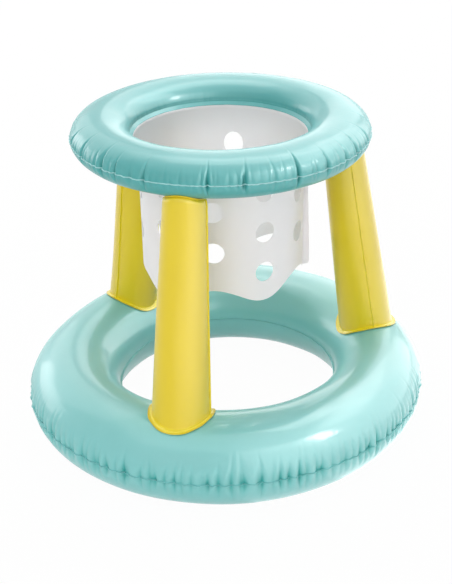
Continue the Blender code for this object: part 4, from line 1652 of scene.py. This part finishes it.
@dataclass
class Studio:
    """Camera, lamps, white surroundings and floor."""

    camera_place: Vector = field(default_factory=lambda: Vector((0.5038, -1.6745, 1.1219)))
    target: Vector = field(default_factory=lambda: Vector((0.0028, 0.0008, 0.2205)))
    roll: float = math.radians(1.303)
    lens: float = 72.635
    wall_light: float = 0.68
    zenith_light: float = 0.52
    floor_white_share: float = 0.97
    floor_radius: float = 9.0
    floor_columns: int = 96
    lamps: tuple[Softbox, ...] = (
        Softbox("back_wall", 122, 10, 6.0, (4.5, 4.0), 3.2, Lights.BODY),
        Softbox("front_wall", -98, 27, 6.0, (4.5, 4.0), 2.45, Lights.BODY),
        Softbox("key_softbox", -9, 40, 6.0, (1.0, 1.6), 30.0),
        Softbox("right_sheen", 30, 28, 6.0, (11.5, 7.2), 4.1),
        Softbox("front_sheen", -38, 26, 6.0, (5.0, 6.0), 3.2),
        Softbox("back_sheen", 96, 34, 6.0, (3.2, 7.0), 2.4),
        Softbox("right_high_sheen", 47, 50, 6.0, (5.0, 2.6), 2.8),
        Softbox("overhead_sheen", 0, 85, 6.0, (9.5, 9.5), 1.8),
        Softbox("overhead_core", 94, 70, 6.0, (4.5, 2.6), 5.0),
        Softbox("left_back_sheen", 147, 33, 6.0, (5.0, 5.4), 1.6),
        Softbox("left_low_sheen", 163, 11, 6.0, (4.0, 2.6), 3.3, colour=(1.0, 0.94, 0.96)),
        Softbox("light_table", -13, 0, 1.68, (3.0, 4.0), 0.6, lies_flat=True),
        Softbox("light_table_back", 17, 0, 1.68, (3.0, 4.0), 0.9, lies_flat=True),
        Softbox("light_table_front", -48, 0, 2.35, (3.0, 3.2), 2.0, lies_flat=True),
    )

    def camera(self) -> None:
        """Put the camera where the photograph was taken from."""
        data = bpy.data.cameras.new("camera")
        data.sensor_width = 36.0
        data.lens = self.lens
        data.clip_end = 50.0
        made = bpy.data.objects.new("camera", data)
        back = (self.camera_place - self.target).normalized()
        right = Vector((0, 0, 1)).cross(back).normalized()
        up = back.cross(right)
        across = math.cos(self.roll) * right - math.sin(self.roll) * up
        upwards = math.sin(self.roll) * right + math.cos(self.roll) * up
        turn = Matrix((across, upwards, back)).transposed().to_4x4()
        turn.translation = self.camera_place
        made.matrix_world = turn
        bpy.context.scene.collection.objects.link(made)
        bpy.context.scene.camera = made

    def world(self) -> None:
        """Light from pale walls, less from the zenith, and show plain white to the camera and in gloss.

        The light falls in a straight line with the sine of the elevation, from the horizon to the zenith.
        """
        paint = Paint("white_surround", worldwide=True)
        bpy.context.scene.world = paint.owner
        direction = {"Vector": paint.place("Generated")}
        height = paint.node("ShaderNodeSeparateXYZ", inputs=direction, output="Z").step_up(0.0, 1.0, "LINEAR")
        strength = self.wall_light + (self.zenith_light - self.wall_light) * height
        light, shown = (
            paint.node("ShaderNodeBackground", inputs={"Color": (1.0, 1.0, 1.0), "Strength": given})
            for given in (strength, 1.0)
        )
        both = paint.node("ShaderNodeMixShader", inputs={0: paint.background_rays(), 1: light, 2: shown})
        paint.tree.links.new(both.socket, paint.tree.nodes["World Output"].inputs["Surface"])

    def floor(self) -> None:
        """Lay a round pale floor that shows the camera white and keeps the object's shadow."""
        reach = np.array([0.001, 1.0, self.floor_radius])[:, None]
        points = upright(reach, whole_turn(self.floor_columns), 0.0)
        made = mesh_object("floor", points, quads(*points.shape[:2], wrapped=True)[:, ::-1])
        paint = Paint("pale_floor")
        tint = paint.mix(paint.noise(paint.place(), scale=3.0), (0.86, 0.86, 0.86), (0.88, 0.88, 0.88))
        paint.principled(Base_Color=tint, Roughness=0.8)
        glow = paint.node("ShaderNodeEmission", inputs={"Color": (1.0, 1.0, 1.0), "Strength": 1.0})
        seen = paint.background_rays() * self.floor_white_share
        lit = Value(paint, paint.tree.nodes["Principled BSDF"].outputs[0])
        both = paint.node("ShaderNodeMixShader", inputs={0: seen, 1: lit, 2: glow})
        paint.tree.links.new(both.socket, paint.tree.nodes["Material Output"].inputs["Surface"])
        made.data.materials.append(paint.owner)

    def build(self) -> None:
        """Set up everything that isn't part of the object."""
        self.camera()
        self.world()
        self.floor()
        for lamp in self.lamps:
            lamp.build(self.target)
        bpy.context.scene.view_settings.view_transform = "Standard"


# How each ring is folded


# The hoop's deep folds, where the photograph shows them and more at its back: degrees, millimetres
HOOP_DEEP_FOLDS = (
    (-135.8, 1.9), (-121.6, 2.4), (-114.7, 1.7), (-101.8, 2.2), (-78.2, 2.6), (-65.2, 2.4), (-45.3, 2.5),
    (-32.2, 2.2), (-21.7, 1.7), (-14.4, 1.8), (-1.8, 1.6), (11.0, 2.2), (23.5, 1.6), (38.0, 2.3),
    (52.5, 1.8), (66.0, 2.4), (101.0, 1.9), (117.0, 2.4), (131.5, 1.7), (149.0, 2.2), (163.0, 2.0),
    (178.0, 2.4), (196.0, 1.8), (211.0, 2.2),
)


def hoop_folds(seam_length: float) -> Folds:
    """The hoop's folds: deep ones at set places and fine ones between, longer round the left back.

    Args:
        seam_length: length of the outer seam.

    Returns:
        The folds.
    """
    rng, deepening = np.random.default_rng(77), 2.2
    angles, depths = np.array(HOOP_DEEP_FOLDS).T
    places = np.radians(angles) % math.tau * seam_length / math.tau
    count = len(places)
    deep = Folds(
        places, deepening * (depths * 0.001), rng.uniform(0.018, 0.025, count),
        rng.uniform(0.0019, 0.0027, count), rng.uniform(-0.0012, 0.0012, count),
    )
    fine = Folds.scattered(
        rng, seam_length, 126, depth=(0.0006, 0.0023), reach=(0.011, 0.021), width=(0.0016, 0.0025),
        lean=0.0012,
    )
    angle = fine.places / seam_length * math.tau
    fine.reaches = fine.reaches * (1 + 0.9 * bell(angle - 1.86, 0.3))
    return deep.joined(fine)


def base_folds(seam_length: float) -> Folds:
    """The base ring's folds: many soft ones, with short nicks between them.

    Args:
        seam_length: length of the outer seam.

    Returns:
        The folds.
    """
    rng = np.random.default_rng(41)
    soft = Folds.scattered(
        rng, seam_length, 152, depth=(0.0024, 0.0066), reach=(0.014, 0.022), width=(0.0030, 0.0044),
        lean=0.0012,
    )
    nicks = Folds.scattered(
        rng, seam_length, 150, depth=(0.0001, 0.0006), reach=(0.003, 0.008), width=(0.0014, 0.0024),
        lean=0.0006,
    )
    return soft.joined(nicks)


def inner_folds(seam_length: float, count: int, depth: float, seed: int) -> Folds:
    """Short puckers beside the inner weld.

    Args:
        seam_length: length of the inner seam.
        count: how many puckers.
        depth: depth of the deepest.
        seed: the seed of chance.

    Returns:
        The puckers.
    """
    return Folds.scattered(
        np.random.default_rng(seed), seam_length, count, depth=(0.1 * depth, depth), reach=(0.004, 0.011),
        width=(0.0016, 0.0032), lean=0.001,
    )


def base_ring() -> InflatedRing:
    """The base ring, pressed flat on the floor over a band as wide as its rest.

    Returns:
        The ring.
    """
    radius, half_width, half_height, rest = 0.2595, 0.0733, 0.0699, 0.024
    return InflatedRing(
        "base", radius, half_width, half_height,
        centre_height=half_height * math.sqrt(1 - (rest / 2 / half_width) ** 2), outer_fin=0.0015,
        inner_fin=0.0020, columns=1260, first_row=0.0014, row_growth=1.15, widest_row=0.0135,
        folds=base_folds(math.tau * (radius + half_width)),
        inner_folds=inner_folds(math.tau * (radius - half_width), 70, 0.0006, 61),
        second_reach_share=0.85, inner_droop=0.0, seam_line_fade_angle=math.radians(-35), seam_wander=0.00045,
        valve_tilt=math.radians(40), floor_level=0.0, seed=5,
    )


def hoop_ring() -> InflatedRing:
    """The hoop ring, whose inner fin hangs down to carry the net.

    Returns:
        The ring.
    """
    radius, half_width = 0.1877, 0.0462
    return InflatedRing(
        "hoop", radius, half_width, 0.0324, centre_height=0.5053, outer_fin=0.0014, inner_fin=0.0064,
        columns=1200, first_row=0.0011, row_growth=1.10, widest_row=0.0056,
        folds=hoop_folds(math.tau * (radius + half_width)),
        inner_folds=inner_folds(math.tau * (radius - half_width), 64, 0.0007, 62),
        second_reach_share=0.6, inner_droop=math.radians(45), seam_line_fade_angle=math.radians(100), seam_wander=0.0003,
        valve_tilt=math.radians(35), seed=17,
    )


def main() -> None:
    """Build the studio and every part of the toy, in order."""
    logging.basicConfig(level=logging.INFO, format="%(message)s")
    Studio().build()
    aqua, hoop_shaded_aqua, yellow, white, clear = (
        finish.material() for finish in (AQUA, HOOP_SHADED_AQUA, YELLOW, WHITE, CLEAR)
    )
    base, hoop = base_ring(), hoop_ring()
    base.build(aqua)
    hoop.build(hoop_shaded_aqua)
    front, right, left = (math.radians(angle) for angle in (-90, 30, 150))
    AirLeg("front", front, base, hoop, 101, foot_offset=-0.0060, head_turn=math.radians(1.4)).build(yellow)
    AirLeg("right", right, base, hoop, 202).build(yellow)
    AirLeg("left", left, base, hoop, 303, foot_offset=0.0038, head_offset=0.0025).build(yellow)
    HangingNet(hoop).build(white)
    AirValve("base", base).build(clear)
    AirValve("hoop", hoop).build(clear)


if __name__ == "__main__":
    main()
